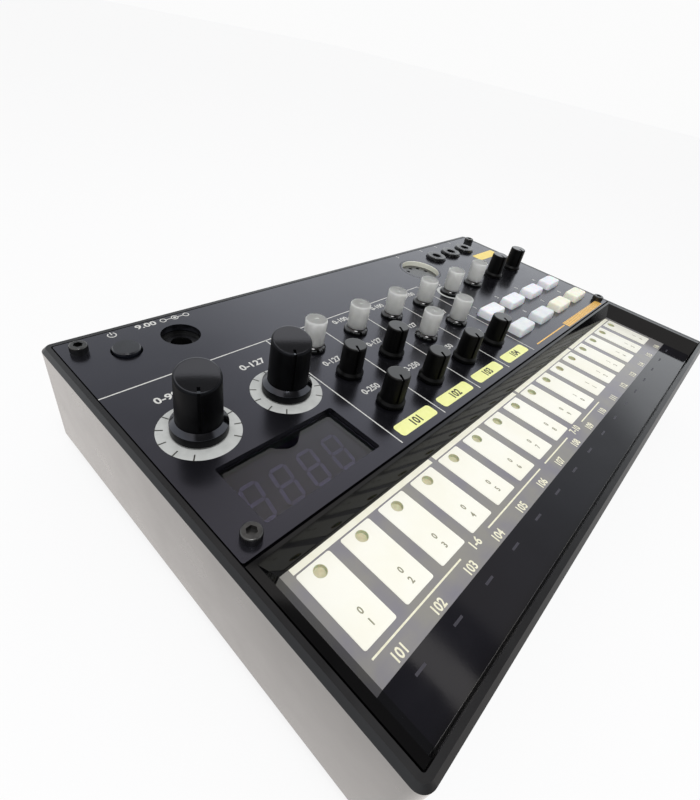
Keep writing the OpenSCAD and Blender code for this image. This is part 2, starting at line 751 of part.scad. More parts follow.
module speaker() {
    color("#4b4d50") translate([speaker_x, bay_y, floor_top]) rotate_extrude()
        polygon([[3, 1.4], [speaker_r - 3, 0.6], [speaker_r - 3, 0], [speaker_r, 0], [speaker_r, 1.2],
                 [speaker_r - 3, 2.2], [11, 4.6], [11, speaker_h], [0, speaker_h], [0, 1.4]]);
}

// ---- sockets

module dc_jack() {
    face = panel_top - dc_face_depth;
    color("#161617") difference() {
        translate([dc_x - dc_body[0] / 2, socket_y - dc_body[1] / 2, face - dc_barrel_depth - 2])
            cube([dc_body[0], dc_body[1], dc_barrel_depth + 2 + panel_under - near - face]);
        post([dc_x, socket_y], dc_hole_r, face, panel_top);
        post([dc_x, socket_y], dc_barrel_r, face - dc_barrel_depth, panel_top);
        post([dc_x, socket_y], dc_pin_r + press, face - dc_barrel_depth - 3, panel_top);
    }
}

module dc_jack_pin() {
    face = panel_top - dc_face_depth;
    color("#c9c2a8") post([dc_x, socket_y], dc_pin_r, face - dc_barrel_depth - 2.5, face - 1.5);
}

// Insulator of the five-pin socket: a core inside the shell's groove, on a base disc
module midi_socket() {
    face = panel_top - midi_face_depth;
    base_r = midi_shell_r - midi_shell_t - press;
    color("#1a1a1b") difference() {
        union() {
            post([midi_x, midi_y], base_r, board_top, board_top + 1.5);
            post([midi_x, midi_y], base_r - 1, board_top, face);
        }
        for (a = [0 : 45 : 180])
            translate([midi_x + 4.6 * cos(a), midi_y + 4.6 * sin(a), face - 6]) cylinder(r = 0.75, h = 7);
        translate([midi_x, midi_y - base_r, face - 2]) cube([2, 3.4, 8], center = true);
    }
}

module midi_shell() {
    color("#d9d6cc") difference() {
        post([midi_x, midi_y], midi_shell_r, board_top, panel_top);
        post([midi_x, midi_y], midi_shell_r - midi_shell_t, board_top - 1, panel_top + 1);
    }
}

module audio_jacks() {
    top = panel_top + jack_collar_h;
    low = min(top - jack_bore_l - 1.5, board_z - 1);
    color("#19191a") for (x = jack_xs) difference() {
        union() {
            translate([x - jack_body[0] / 2, socket_y - 0.5 - jack_body[1] / 2, low])
                cube([jack_body[0], jack_body[1], panel_under - near - low]);
            post([x, socket_y], jack_collar_r, board_top, top - 0.6);
            translate([x, socket_y, top - 0.6])
                cylinder(r1 = jack_collar_r, r2 = jack_collar_r - 0.6, h = 0.6);
        }
        post([x, socket_y], jack_bore_r, top - jack_bore_l, top + 1);
    }
}

// ---- knobs and buttons

// Everything about a knob that turns lies round its own axis, from the panel's face up
module at_knob(k) {
    translate([k[1], k[2], panel_top]) children();
}

module shaft(r, knob_h) {
    low = board_top + 1 - panel_top;
    translate([0, 0, low]) cylinder(r = r, h = knob_h - 2 - low);
}

module shaft_bore(r, knob_h) {
    cylinder(r = r + press, h = knob_h - 1.7);
}

// Groove from near the middle of a knob's top, over its edge and down its side, at the pointer's angle
module pointer_groove(top_r, start_r, top_depth, z0, knob_h) {
    rotate([0, 0, 90 + knob_rest_angle]) {
        translate([top_r - groove_depth, -groove_w / 2, z0]) cube([5, groove_w, knob_h]);
        translate([start_r, -groove_w / 2, knob_h - top_depth]) cube([5, groove_w, knob_h]);
    }
}

module big_knob(k) {
    body_r = big_knob_r + 0.25;
    edge_r = big_knob_r - big_knob_round;
    edge_z = big_knob_h - big_knob_round;
    seat_h = big_knob_h - 0.8;
    mark_r = 2.9;
    mark_z = big_knob_h - tan(big_knob_slant) * (edge_r + mark_r);
    color("#141415") at_knob(k) {
        difference() {
            rotate_extrude() polygon(concat(
                [[0, knob_gap], [big_skirt_r, knob_gap], [big_skirt_r, big_skirt_h],
                 [body_r + 0.1, big_skirt_h + 1.1], [body_r, big_skirt_h + 1.2]],
                [for (a = [0 : 15 : 90]) [edge_r + big_knob_round * cos(a), edge_z + big_knob_round * sin(a)]],
                [[0, big_knob_h]]));
            rotate([0, 0, 90 + knob_rest_angle]) translate([-edge_r, 0, big_knob_h]) rotate([0, big_knob_slant, 0])
                translate([-5, -10, 0]) cube([30, 20, 10]);
            shaft_bore(big_shaft_r, seat_h);
            pointer_groove(big_knob_r, mark_r, 0.5, big_skirt_h + 1.6, mark_z);
        }
        shaft(big_shaft_r, seat_h);
    }
}

module plain_knob(k) {
    body_r = small_knob_r + 0.15;
    color("#121213") at_knob(k) {
        difference() {
            rotate_extrude() polygon([
                [0, knob_gap], [small_skirt_r, knob_gap], [small_skirt_r, 1.2], [body_r, 1.9],
                [small_knob_r, small_knob_h - 0.3], [small_knob_r - 0.3, small_knob_h], [0, small_knob_h]]);
            shaft_bore(small_shaft_r, small_knob_h);
            pointer_groove(small_knob_r, 0.7, groove_depth, 2.2, small_knob_h);
        }
        shaft(small_shaft_r, small_knob_h);
    }
}

module lit_cap(k) {
    color("#b9beae") at_knob(k) difference() {
        rotate_extrude() polygon([
            [0, lit_skirt_h], [small_knob_r - 0.1, lit_skirt_h], [small_knob_r, small_knob_h - 0.4],
            [small_knob_r - 0.4, small_knob_h], [0, small_knob_h]]);
        shaft_bore(small_shaft_r, small_knob_h);
    }
}

module lit_skirt(k) {
    color("#121213") at_knob(k) {
        difference() {
            rotate_extrude() polygon([
                [0, knob_gap], [small_skirt_r, knob_gap], [small_skirt_r, lit_skirt_h - 0.4],
                [small_skirt_r - 0.4, lit_skirt_h], [0, lit_skirt_h]]);
            translate([0, 0, -1]) shaft_bore(small_shaft_r, small_knob_h);
        }
        shaft(small_shaft_r, small_knob_h);
    }
}

module function_button(p) {
    flange_z = panel_under - near - 1;
    color("#e8ebf2") translate([p[0], p[1], 0]) {
        translate([0, 0, flange_z])
            bevelled_block(button_w, button_d, 1, panel_top + button_h - flange_z, 0.9);
        translate([0, 0, flange_z]) rounded_block(button_w, button_d + 2, 1, 1);
        span([-1.5, -1.5, stem_z], [1.5, 1.5, flange_z + through]);
    }
}

module power_button() {
    flange_z = panel_under - near - 1;
    top = panel_top + power_h;
    color("#2b2c31") {
        post(power_place, power_r, flange_z, top - 0.3);
        translate([power_place[0], power_place[1], top - 0.3])
            cylinder(r1 = power_r, r2 = power_r - 0.3, h = 0.3);
        post(power_place, power_r + 1.2, flange_z, flange_z + 1);
        post(power_place, 1.5, stem_z, flange_z + through);
    }
}

upper_case();
lower_case();
top_panel();
touch_bezel();
touch_board();
touch_pads();
pad_lamps();
panel_screws();
case_screws();
rubber_feet();
battery_door();
battery_cells();
battery_contacts();
main_board();
board_components();
potentiometers();
tact_switches();
display_window();
display_module();
dc_jack();
dc_jack_pin();
midi_socket();
midi_shell();
audio_jacks();
speaker();
power_button();
for (k = big_knobs)
    big_knob(k);
for (k = plain_knobs)
    plain_knob(k);
for (k = lit_knobs) {
    lit_cap(k);
    lit_skirt(k);
}
for (i = [1 : len(button_places)])
    function_button(button_places[i - 1]);
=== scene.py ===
"""A drum machine: its finishes, its printing and its small parts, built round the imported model."""
import json
import math
import bmesh
import bpy
from mathutils import Matrix, Vector


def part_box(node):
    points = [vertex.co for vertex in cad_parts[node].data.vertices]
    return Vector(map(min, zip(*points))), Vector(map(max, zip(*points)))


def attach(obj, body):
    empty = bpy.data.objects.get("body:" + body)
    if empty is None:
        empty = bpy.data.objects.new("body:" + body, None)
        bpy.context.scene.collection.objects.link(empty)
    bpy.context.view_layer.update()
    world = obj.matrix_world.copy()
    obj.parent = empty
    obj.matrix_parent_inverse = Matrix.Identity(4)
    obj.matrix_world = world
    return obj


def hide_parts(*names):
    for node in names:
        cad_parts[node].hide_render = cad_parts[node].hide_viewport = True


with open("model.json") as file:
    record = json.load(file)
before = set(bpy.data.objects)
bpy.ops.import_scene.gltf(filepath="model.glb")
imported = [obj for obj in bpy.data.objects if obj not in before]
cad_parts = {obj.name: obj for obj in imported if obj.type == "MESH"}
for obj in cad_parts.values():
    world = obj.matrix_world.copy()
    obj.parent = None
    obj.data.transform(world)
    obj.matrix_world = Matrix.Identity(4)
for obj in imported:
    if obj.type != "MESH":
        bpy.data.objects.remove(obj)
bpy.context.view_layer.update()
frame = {"nodes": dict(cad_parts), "record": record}

MM = 0.001
# Screen-printed ink, drawn thick enough for its edge to catch the light
FILM = 0.03
# Where every pointer stands at rest: seven o'clock, measured from +X
POINTER = math.radians(240)
# Round edges are smooth up to this angle between two faces
SMOOTH_ANGLE = math.radians(32)


# ---- Pieces ----

def box_of(node):
    """The lowest and the highest corner of a node's box, in mm."""
    return [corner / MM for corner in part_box(node)]


def middle(node):
    """The middle of a node's box, in mm."""
    low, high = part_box(node)
    return (low + high) / 2 / MM


def top_of(node):
    """The height of a node's highest point, in mm."""
    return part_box(node)[1].z / MM


def new_object(name, data):
    """An object with this data, in the scene."""
    made = bpy.data.objects.new(name, data)
    bpy.context.scene.collection.objects.link(made)
    return made


def to_mesh(shape, name, smooth=False):
    """Turns a shape drawn in mm into a mesh in metres, and frees it."""
    bmesh.ops.scale(shape, vec=(MM, MM, MM), verts=shape.verts)
    mesh = bpy.data.meshes.new(name)
    shape.to_mesh(mesh)
    shape.free()
    if smooth:
        mesh.shade_smooth()
        mesh.set_sharp_from_angle(angle=SMOOTH_ANGLE)
    return mesh


def settle(name, shape, skin, body="case", stands_for=(), smooth=False):
    """Puts a shape in the scene as a piece: its finish, its body and the nodes it stands for."""
    mesh = to_mesh(shape, name, smooth)
    piece = new_object(name, mesh)
    mesh.materials.clear()
    mesh.materials.append(skin)
    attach(piece, body)
    if stands_for:
        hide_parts(*stands_for)


def plain_copy(holder):
    """The evaluated shape of an object as a mesh of its own, and the object removed."""
    graph = bpy.context.evaluated_depsgraph_get()
    mesh = bpy.data.meshes.new_from_object(holder.evaluated_get(graph), depsgraph=graph)
    holder.modifiers.clear()
    bpy.data.objects.remove(holder)
    return mesh


def take(shape, mesh, placing):
    """Adds a mesh to a shape where a matrix puts it, and removes the mesh."""
    mesh.transform(placing)
    shape.from_mesh(mesh)
    bpy.data.meshes.remove(mesh)


def carved(body, tool):
    """One shape with another one cut out of it."""
    holders = []
    for part in (body, tool):
        mesh = bpy.data.meshes.new("carving")
        part.to_mesh(mesh)
        part.free()
        holders.append(new_object("carving", mesh))
    cut = holders[0].modifiers.new("cut", "BOOLEAN")
    cut.object = holders[1]
    cut.use_self = True
    shape = bmesh.new()
    take(shape, plain_copy(holders[0]), Matrix.Identity(4))
    bpy.data.objects.remove(holders[1])
    return shape


# ---- Shapes ----

def loft(shape, levels):
    """A closed skin over pairs of an outline and its height, from the lowest up. The outlines have as
    many points each, and run anticlockwise."""
    rings = [[shape.verts.new((x, y, height)) for x, y in outline] for outline, height in levels]
    shape.faces.new(rings[0][::-1])
    shape.faces.new(rings[-1])
    for lower, upper in zip(rings, rings[1:]):
        for i in range(len(lower)):
            j = (i + 1) % len(lower)
            shape.faces.new((lower[i], lower[j], upper[j], upper[i]))


def prism(shape, outline, low, high):
    """A closed slab."""
    loft(shape, [(outline, low), (outline, high)])


def round_box(x, y, width, depth, radius, steps=5):
    """The outline of a rectangle with round corners."""
    points = []
    for quarter, (sx, sy) in enumerate(((1, 1), (-1, 1), (-1, -1), (1, -1))):
        for step in range(steps + 1):
            angle = math.radians(90 * (quarter + step / steps))
            points.append((x + sx * (width / 2 - radius) + radius * math.cos(angle),
                           y + sy * (depth / 2 - radius) + radius * math.sin(angle)))
    return points


def film(shape, outline, low):
    """A printed area."""
    prism(shape, outline, low, low + FILM)


def bar(shape, start, end, width, low):
    """A straight printed line from one point to another."""
    way = (Vector(end) - Vector(start)).normalized()
    side = Vector((-way.y, way.x)) * width / 2
    film(shape, [Vector(start) - side, Vector(end) - side, Vector(end) + side, Vector(start) + side], low)


def turned(shape, profile, at, steps):
    """A body of revolution. Its profile of (radius, height) closes on itself or ends on the axis."""
    angles = [2 * math.pi * i / steps for i in range(steps)]
    rings = [[shape.verts.new((at[0] + radius * math.cos(angle), at[1] + radius * math.sin(angle), height))
              for angle in (angles if radius > 0 else angles[:1])] for radius, height in profile]
    made = []
    closed = profile[0][0] > 0
    for k in range(len(rings) if closed else len(rings) - 1):
        lower, upper = rings[k], rings[(k + 1) % len(rings)]
        for i in range(steps if len(lower) + len(upper) > 2 else 0):
            j = (i + 1) % steps
            corners = [lower[i % len(lower)], lower[j % len(lower)],
                       upper[j % len(upper)], upper[i % len(upper)]]
            made.append(shape.faces.new(list(dict.fromkeys(corners))))
    bmesh.ops.recalc_face_normals(shape, faces=made)


def band(shape, inner, outer, low, high, at, steps):
    """A flat ring."""
    turned(shape, [(inner, low), (outer, low), (outer, high), (inner, high)], at, steps)


def fillet(centre, radius, start, end, steps):
    """Profile points round a corner, between two angles in degrees."""
    angles = [math.radians(start + (end - start) * i / steps) for i in range(steps + 1)]
    return [(centre[0] + radius * math.cos(angle), centre[1] + radius * math.sin(angle)) for angle in angles]


def numbers(shape, words, x, y, low, height, wide=0.85):
    """Printed numbers, centred on a point and as tall as given. wide stretches the font's own width."""
    curve = bpy.data.curves.new("numbers", "FONT")
    curve.body = words
    curve.align_x = "CENTER"
    curve.resolution_u = 3
    curve.extrude = 0.5
    curve.offset = 0.025
    mesh = plain_copy(new_object("numbers", curve))
    bottom, top = (pick(v.co.y for v in mesh.vertices) for pick in (min, max))
    size = height / (top - bottom)
    take(shape, mesh, Matrix.Translation((x, y, low + FILM / 2)) @ Matrix.Diagonal((size * wide, size, FILM, 1))
         @ Matrix.Translation((0, -(top + bottom) / 2, 0)))


# ---- Node trees ----

def sum_of(operation):
    """A way to reckon with two values."""
    return lambda value, other: value.reckon(operation, other)


class Value:
    """An output of a node. It is reckoned with like a number, and each sum adds a node to its tree."""

    def __init__(self, tree, socket):
        self.tree = tree
        self.socket = socket

    def reckon(self, operation, *others):
        return out(self.tree, "ShaderNodeMath", dict(enumerate((self, *others))), operation=operation)

    __add__ = __radd__ = sum_of("ADD")
    __sub__ = sum_of("SUBTRACT")
    __mul__ = sum_of("MULTIPLY")
    __truediv__ = sum_of("DIVIDE")
    __mod__ = sum_of("MODULO")
    __gt__ = sum_of("GREATER_THAN")

    def __rsub__(self, other):
        return out(self.tree, "ShaderNodeMath", {0: other, 1: self}, operation="SUBTRACT")

    def __floordiv__(self, other):
        return (self / other).reckon("FLOOR")

    def __abs__(self):
        return self.reckon("ABSOLUTE")


def feed(tree, node, sockets):
    """Gives a node's sockets a plain value each, or a Value to link."""
    for name, value in sockets.items():
        if isinstance(value, Value):
            tree.links.new(value.socket, node.inputs[name])
        else:
            node.inputs[name].default_value = value


def add(tree, kind, sockets=None, **settings):
    """Adds a node with its settings, and feeds its sockets."""
    node = tree.nodes.new(kind)
    for name, value in settings.items():
        setattr(node, name, value)
    feed(tree, node, sockets or {})
    return node


def out(tree, kind, sockets=None, pick=0, **settings):
    """Adds a node and gives the picked one of its outputs."""
    return Value(tree, add(tree, kind, sockets, **settings).outputs[pick])


def vector(tree, x=0.0, y=0.0, z=0.0):
    """Three numbers or Values as one vector."""
    return out(tree, "ShaderNodeCombineXYZ", {"X": x, "Y": y, "Z": z})


def axes(tree, value):
    """The three numbers of a vector."""
    return [Value(tree, socket) for socket in add(tree, "ShaderNodeSeparateXYZ", {0: value}).outputs]


def ramp(tree, value, start, end, first=0.0, last=1.0, **settings):
    """What goes from first to last while a value goes from start to end."""
    return out(tree, "ShaderNodeMapRange", {"Value": value, "From Min": start, "From Max": end,
                                            "To Min": first, "To Max": last}, **settings)


def ray(tree, kind):
    """One for a ray of this kind, and else nought."""
    return out(tree, "ShaderNodeLightPath", pick=f"Is {kind} Ray")


def mix(tree, factor, first, second):
    """A number between two others."""
    return out(tree, "ShaderNodeMix", {0: factor, 2: first, 3: second})


def mix_colours(tree, factor, first, second):
    """A colour between two others."""
    return out(tree, "ShaderNodeMix", {0: factor, 6: first, 7: second}, pick=2, data_type="RGBA")


# ---- Geometry trees for what repeats ----

def start_tree(name, *labels):
    """A geometry tree with named inputs, and these inputs as Values."""
    tree = bpy.data.node_groups.new(name, "GeometryNodeTree")
    kinds = {"Count": "NodeSocketInt", "Finish": "NodeSocketMaterial"}
    for label in labels:
        tree.interface.new_socket(label, in_out="INPUT", socket_type=kinds.get(label, "NodeSocketFloat"))
    tree.interface.new_socket("Shape", in_out="OUTPUT", socket_type="NodeSocketGeometry")
    given = add(tree, "NodeGroupInput").outputs
    return tree, {label: Value(tree, given[label]) for label in labels}


def end_tree(tree, shape, skin):
    """Ends a tree in real geometry that has its finish."""
    real = out(tree, "GeometryNodeRealizeInstances", {"Geometry": shape})
    add(tree, "NodeGroupOutput",
        {"Shape": out(tree, "GeometryNodeSetMaterial", {"Geometry": real, "Material": skin})})
    return tree


def cuboid(tree, *size, columns=2):
    """A box round the origin, with this many rows of points along X."""
    return out(tree, "GeometryNodeMeshCube", {"Size": vector(tree, *size), "Vertices X": columns})


def moved(tree, shape, **along):
    """A shape moved along x or z."""
    return out(tree, "GeometryNodeTransform", {"Geometry": shape, "Translation": vector(tree, **along)})


def joined(tree, *parts):
    """Several shapes as one."""
    whole = add(tree, "GeometryNodeJoinGeometry")
    for part in parts:
        tree.links.new(part.socket, whole.inputs[0])
    return Value(tree, whole.outputs[0])


def index_of(tree):
    """The number of each point."""
    return out(tree, "GeometryNodeInputIndex")


def points(tree, count, position=(0, 0, 0)):
    """So many points."""
    return out(tree, "GeometryNodePoints", {"Count": count, "Position": position})


def row_of(tree, given):
    """Points along X, one pitch apart."""
    return points(tree, given["Count"], vector(tree, index_of(tree) * given["Pitch"]))


def repeated(tree, at, unit, **more):
    """A unit on each point."""
    return out(tree, "GeometryNodeInstanceOnPoints", {"Points": at, "Instance": unit, **more})


def about_z(tree, angle):
    """A turn about the Z axis."""
    return out(tree, "FunctionNodeEulerToRotation", {"Euler": vector(tree, z=angle)})


def grow(shape, tree, sizes, place, turn=0.0):
    """Adds what a tree makes with these inputs to a shape, turned about Z and moved to its place."""
    holder = new_object(tree.name, bpy.data.meshes.new(tree.name))
    maker = holder.modifiers.new("maker", "NODES")
    maker.node_group = tree
    for item in tree.interface.items_tree:
        if item.in_out == "INPUT":
            maker[item.identifier] = sizes[item.name]
    take(shape, plain_copy(holder), Matrix.Translation(place) @ Matrix.Rotation(turn, 4, "Z"))


def spoke_tree():
    """Flat marks like the ticks of a dial, turned about the origin step by step."""
    tree, given = start_tree("dial_ticks", "Count", "First Angle", "Step", "Inner Radius", "Length", "Width",
                             "Thickness", "Finish")
    tick = cuboid(tree, given["Length"], given["Width"], given["Thickness"])
    arm = moved(tree, tick, x=given["Inner Radius"] + given["Length"] / 2)
    turn = given["First Angle"] + index_of(tree) * given["Step"]
    ticks = repeated(tree, points(tree, given["Count"]), arm, Rotation=about_z(tree, turn))
    return end_tree(tree, ticks, given["Finish"])


def row_tree():
    """A row of bars along +X, as on a level meter or a finger grip."""
    tree, given = start_tree("row_of_bars", "Count", "Pitch", "Width", "Length", "Thickness", "Finish")
    unit = cuboid(tree, given["Width"], given["Length"], given["Thickness"])
    return end_tree(tree, repeated(tree, row_of(tree, given), unit), given["Finish"])


def segment_tree():
    """A row of slanted seven-segment digits, each of three lying bars and four upright ones."""
    tree, given = start_tree("segment_digits", "Count", "Pitch", "Width", "Height", "Bar", "Slant",
                             "Thickness", "Finish")
    index = index_of(tree)
    position = axes(tree, out(tree, "GeometryNodeInputPosition"))
    half_height = given["Height"] / 2
    gap = given["Bar"] * 0.25

    def segment(length):
        """A bar that narrows to a blunt point at both ends."""
        x, y, z = position
        tip = abs(x) > length / 4
        along = x.reckon("SIGN") * (length / 2 - (1.0 - tip) * (given["Bar"] / 2))
        return out(tree, "GeometryNodeSetPosition",
                   {"Geometry": cuboid(tree, length, given["Bar"], given["Thickness"], columns=4),
                    "Position": vector(tree, along, y * (1.0 - tip * 0.9), z)})

    lying = repeated(tree, points(tree, 3, vector(tree, y=(index - 1.0) * half_height)),
                     segment(given["Width"] - gap))
    corner = vector(tree, (index % 2.0 - 0.5) * given["Width"], (index // 2.0 - 0.5) * half_height)
    upright = repeated(tree, points(tree, 4, corner), segment(half_height - gap),
                       Rotation=about_z(tree, math.pi / 2))
    digits = repeated(tree, row_of(tree, given), joined(tree, lying, upright))
    leaning = out(tree, "GeometryNodeSetPosition",
                  {"Geometry": out(tree, "GeometryNodeRealizeInstances", {"Geometry": digits}),
                   "Offset": vector(tree, position[1] * given["Slant"])})
    return end_tree(tree, leaning, given["Finish"])


def cap_screw_tree():
    """A socket cap screw: a ridged head with a round edge, a six-sided socket and a plain shank."""
    tree, given = start_tree("cap_screw", "Radius", "Height", "Edge", "Socket Radius", "Socket Depth",
                             "Shank Radius", "Shank Length", "Count", "Ridge", "Finish")
    radius, height, edge = given["Radius"], given["Height"], given["Edge"]
    deep, neck, inner = height - given["Socket Depth"], height - edge, radius - edge

    def circle(size, sides=48):
        return out(tree, "GeometryNodeCurvePrimitiveCircle", {"Resolution": sides, "Radius": size})

    def ring(size, low, high):
        """A slab with the socket's opening in it."""
        face = out(tree, "GeometryNodeFillCurve",
                   {0: joined(tree, circle(size), circle(given["Socket Radius"], 6))})
        wall = out(tree, "GeometryNodeExtrudeMesh", {"Mesh": face, "Offset": vector(tree, z=1.0),
                                                     "Offset Scale": high - low, "Individual": False})
        under = out(tree, "GeometryNodeFlipFaces", {"Mesh": face})
        whole = out(tree, "GeometryNodeMergeByDistance",
                    {"Geometry": joined(tree, wall, under), "Distance": 0.0005})
        return moved(tree, whole, z=low)

    def column(size, low, high, sides=48):
        post = out(tree, "GeometryNodeMeshCylinder",
                   {"Vertices": sides, "Radius": size, "Depth": high - low})
        return moved(tree, post, z=(high + low) / 2)

    lip = out(tree, "GeometryNodeCurveToMesh", {"Curve": circle(inner), "Profile Curve": circle(edge, 16)})
    turn = index_of(tree) * (2 * math.pi) / given["Count"]
    ridge_at = vector(tree, turn.reckon("COSINE") * radius, turn.reckon("SINE") * radius)
    ridges = repeated(tree, points(tree, given["Count"], ridge_at), column(given["Ridge"], edge, neck, 6))
    whole = joined(tree, column(radius, 0.0, deep), ring(radius, deep, neck), ring(inner, neck, height),
                   moved(tree, lip, z=neck), ridges,
                   column(given["Shank Radius"], given["Shank Length"] * -1.0, 0.0))
    return end_tree(tree, whole, given["Finish"])


# ---- Finishes ----

def linear(code):
    """An sRGB hex colour as the linear colour that a shader takes."""
    parts = [int(code[i:i + 2], 16) / 255 for i in (1, 3, 5)]
    return (*[c / 12.92 if c <= 0.04045 else ((c + 0.055) / 1.055) ** 2.4 for c in parts], 1)


def finish(name, colour, worn, rough, patch=12.0, grain=0.3, depth=0.002, uneven=0.04, **sockets):
    """A procedural finish. patch, grain and depth are in mm: how wide the drift in tone is, and how
    wide and deep its texture. Tone drifts from colour to worn, and roughness by uneven each way."""
    made = bpy.data.materials.new(name)
    made.use_nodes = True
    tree = made.node_tree
    place = out(tree, "ShaderNodeTexCoord", pick="Object")

    def noise(size, detail):
        return out(tree, "ShaderNodeTexNoise", {"Vector": place, "Scale": 1 / (size * MM), "Detail": detail})

    drift = noise(patch, 4.0)
    plain = {socket.replace("_", " "): value for socket, value in sockets.items()}
    feed(tree, tree.nodes["Principled BSDF"], {
        "Base Color": mix_colours(tree, ramp(tree, drift, 0.35, 0.65), linear(colour), linear(worn)),
        "Roughness": ramp(tree, drift, 0.3, 0.7, rough - uneven, rough + uneven),
        "Normal": out(tree, "ShaderNodeBump", {"Height": noise(grain, 2.0), "Distance": depth * MM}),
        **plain})
    return made


def facing_up(made, start, **sockets):
    """Gives a finish other values where it faces up, from a height of its normal on."""
    tree = made.node_tree
    skin = tree.nodes["Principled BSDF"]
    upward = axes(tree, out(tree, "ShaderNodeNewGeometry", pick="Normal"))[2]
    crown = ramp(tree, upward, start, start + 0.1)
    for name, value in sockets.items():
        socket = skin.inputs[name.replace("_", " ")]
        side = Value(tree, socket.links[0].from_socket) if socket.is_linked else socket.default_value
        feed(tree, skin, {socket.name: mix(tree, crown, side, value)})
    return made


def ink(name, colour, worn, rough=0.5, patch=0.8):
    """Screen-printed epoxy ink, slightly matt and a little thin over the lacquer."""
    return finish(name, colour, worn, rough, patch=patch, grain=0.1, depth=0.003)


def silicone(name, colour, worn):
    """Silicone rubber of a key: soft and slightly translucent."""
    return finish(name, colour, worn, 0.5, patch=3, grain=0.25, depth=0.004,
                  Subsurface_Weight=0.3, Subsurface_Scale=0.001)


# Injection-moulded ABS with a bright skin: near black, and pale where it mirrors its surroundings
case_abs = facing_up(finish("bright_moulded_abs", "#0E0E10", "#131315", 0.3, grain=0.5, depth=0.0012,
                            Coat_Weight=1.0, Coat_Roughness=0.12),
                     start=0.25, Coat_Weight=0.0, Specular_IOR_Level=0.38)
# The same plastic with a spark-eroded grain under the case, which keeps it dull
base_abs = finish("grained_moulded_abs", "#1B1B1D", "#232326", 0.55, grain=0.45, depth=0.03)
# Sheet with a silk lacquer: soft reflections that grow pale at a low angle
panel_lacquer = finish("silk_lacquered_sheet", "#0B0B0E", "#101013", 0.22, grain=0.2, depth=0.0012,
                       IOR=1.56, Specular_IOR_Level=0.6, Specular_Tint=(0.82, 0.82, 1, 1))
# Polished ABS, black and mirror-bright
bezel_abs = finish("polished_abs", "#050506", "#080809", 0.07, grain=0.6, depth=0.0006, uneven=0.02,
                   IOR=1.46, Specular_IOR_Level=0.28)
# Glass-fibre board under grey lacquer
board_lacquer = finish("lacquered_circuit_board", "#86848C", "#918F8A", 0.2, patch=9, grain=0.25)
# Satin plating on the touch pads: a warm white metal so fine-grained that it looks like paint
pad_plating = finish("satin_white_plating", "#FFFEF4", "#FCFAEC", 0.42, grain=0.35, depth=0.0015,
                     Metallic=0.1)
# Black oxide on steel: a thin dark skin that still shines on its edges
black_oxide = finish("black_oxide_steel", "#474747", "#555554", 0.3, patch=1.5, grain=0.12, depth=0.004,
                     Metallic=1.0)
# Zinc-plated steel, bluish and slightly cloudy
zinc_plate = finish("zinc_plated_steel", "#B4B8BE", "#9FA3AA", 0.32, patch=1.5, grain=0.1, depth=0.004,
                    Metallic=1.0)
# Soft moulded rubber, matt and very dark
foot_rubber = finish("moulded_rubber", "#161616", "#1E1E1E", 0.85, patch=4, grain=0.4, depth=0.02)
# Printed foil sleeve of a dry cell
cell_foil = finish("printed_foil_sleeve", "#8C9098", "#7A7E88", 0.3, patch=6, grain=0.5, Metallic=0.6)
# Nickel-plated spring steel
nickel_plate = finish("nickel_plated_steel", "#D8D6CE", "#C9C6BC", 0.2, patch=2, grain=0.2, depth=0.001,
                      Metallic=1.0)
# Tin plating inside a socket's shell. Its near-white, hardly metallic colour is a painted reflection: it stands
# in for the bright light that the real metal mirrors
tin_with_painted_reflection = finish("tin_plating_painted_reflection", "#FFFFF2", "#F8F8E8", 0.45, patch=2, grain=0.2, Metallic=0.1)
# Blackened nickel round the small sockets' mouths
dark_nickel = finish("blackened_nickel", "#5A5A5C", "#4A4A4C", 0.35, patch=1, grain=0.1, depth=0.001,
                     Metallic=1.0)
# Green solder lacquer over copper tracks, which show as paler lines
solder_lacquer = finish("green_solder_lacquer", "#12532A", "#1B6B38", 0.3, patch=1.2, grain=0.4, depth=0.01)
# Moulded epoxy of chips and switches
chip_epoxy = finish("moulded_epoxy", "#18181A", "#202023", 0.6, patch=3, grain=0.2, depth=0.006)
# Pressed aluminium cans of the potentiometers
pressed_aluminium = finish("pressed_aluminium", "#B9B9BC", "#A5A5A9", 0.35, patch=3, grain=0.15, Metallic=1.0)
# Violet-smoked acrylic: a mirror-bright face that lets a little light through
smoked_acrylic = finish("smoked_acrylic", "#86849A", "#817F94", 0.02, grain=0.8, depth=0.0002,
                        uneven=0.01, IOR=1.49, Transmission_Weight=1.0)
# Moulded face of the digit block, dark so that only lit bars show
digit_block = finish("dark_moulded_face", "#302E38", "#36343E", 0.5, patch=4, grain=0.25, depth=0.004)
# Unlit diffuser bars of the digits, milky
bar_diffuser = finish("milky_diffuser", "#D2D0E0", "#C4C2D2", 0.5, patch=2)
# Glossy moulded nylon of the sockets
socket_nylon = facing_up(finish("moulded_nylon", "#0C0C0D", "#131314", 0.25, patch=3),
                         start=0.85, Specular_IOR_Level=0.8)
# Steel frame of the loudspeaker, pressed and painted
speaker_paint = finish("painted_pressed_steel", "#2C2D2F", "#37383B", 0.5, patch=4, depth=0.01)
# Diffusing resin of the pad lamps, unlit
lamp_resin = finish("diffusing_resin", "#D6D2B6", "#C9C4A4", 0.4, patch=0.8, grain=0.1,
                    Subsurface_Weight=0.3, Subsurface_Scale=0.001)
# Power key: moulded ABS with a silk face
key_abs = finish("silk_moulded_abs", "#13151B", "#181A21", 0.24, patch=4, grain=0.25)
# Small knobs: moulded ABS, spark-eroded to a fine dull skin round the side and polished on top
knob_abs = facing_up(finish("dull_moulded_abs", "#010101", "#030303", 0.42, patch=3, depth=0.001,
                            Specular_IOR_Level=0.12),
                     start=0.87, Roughness=0.07, Specular_IOR_Level=0.65)
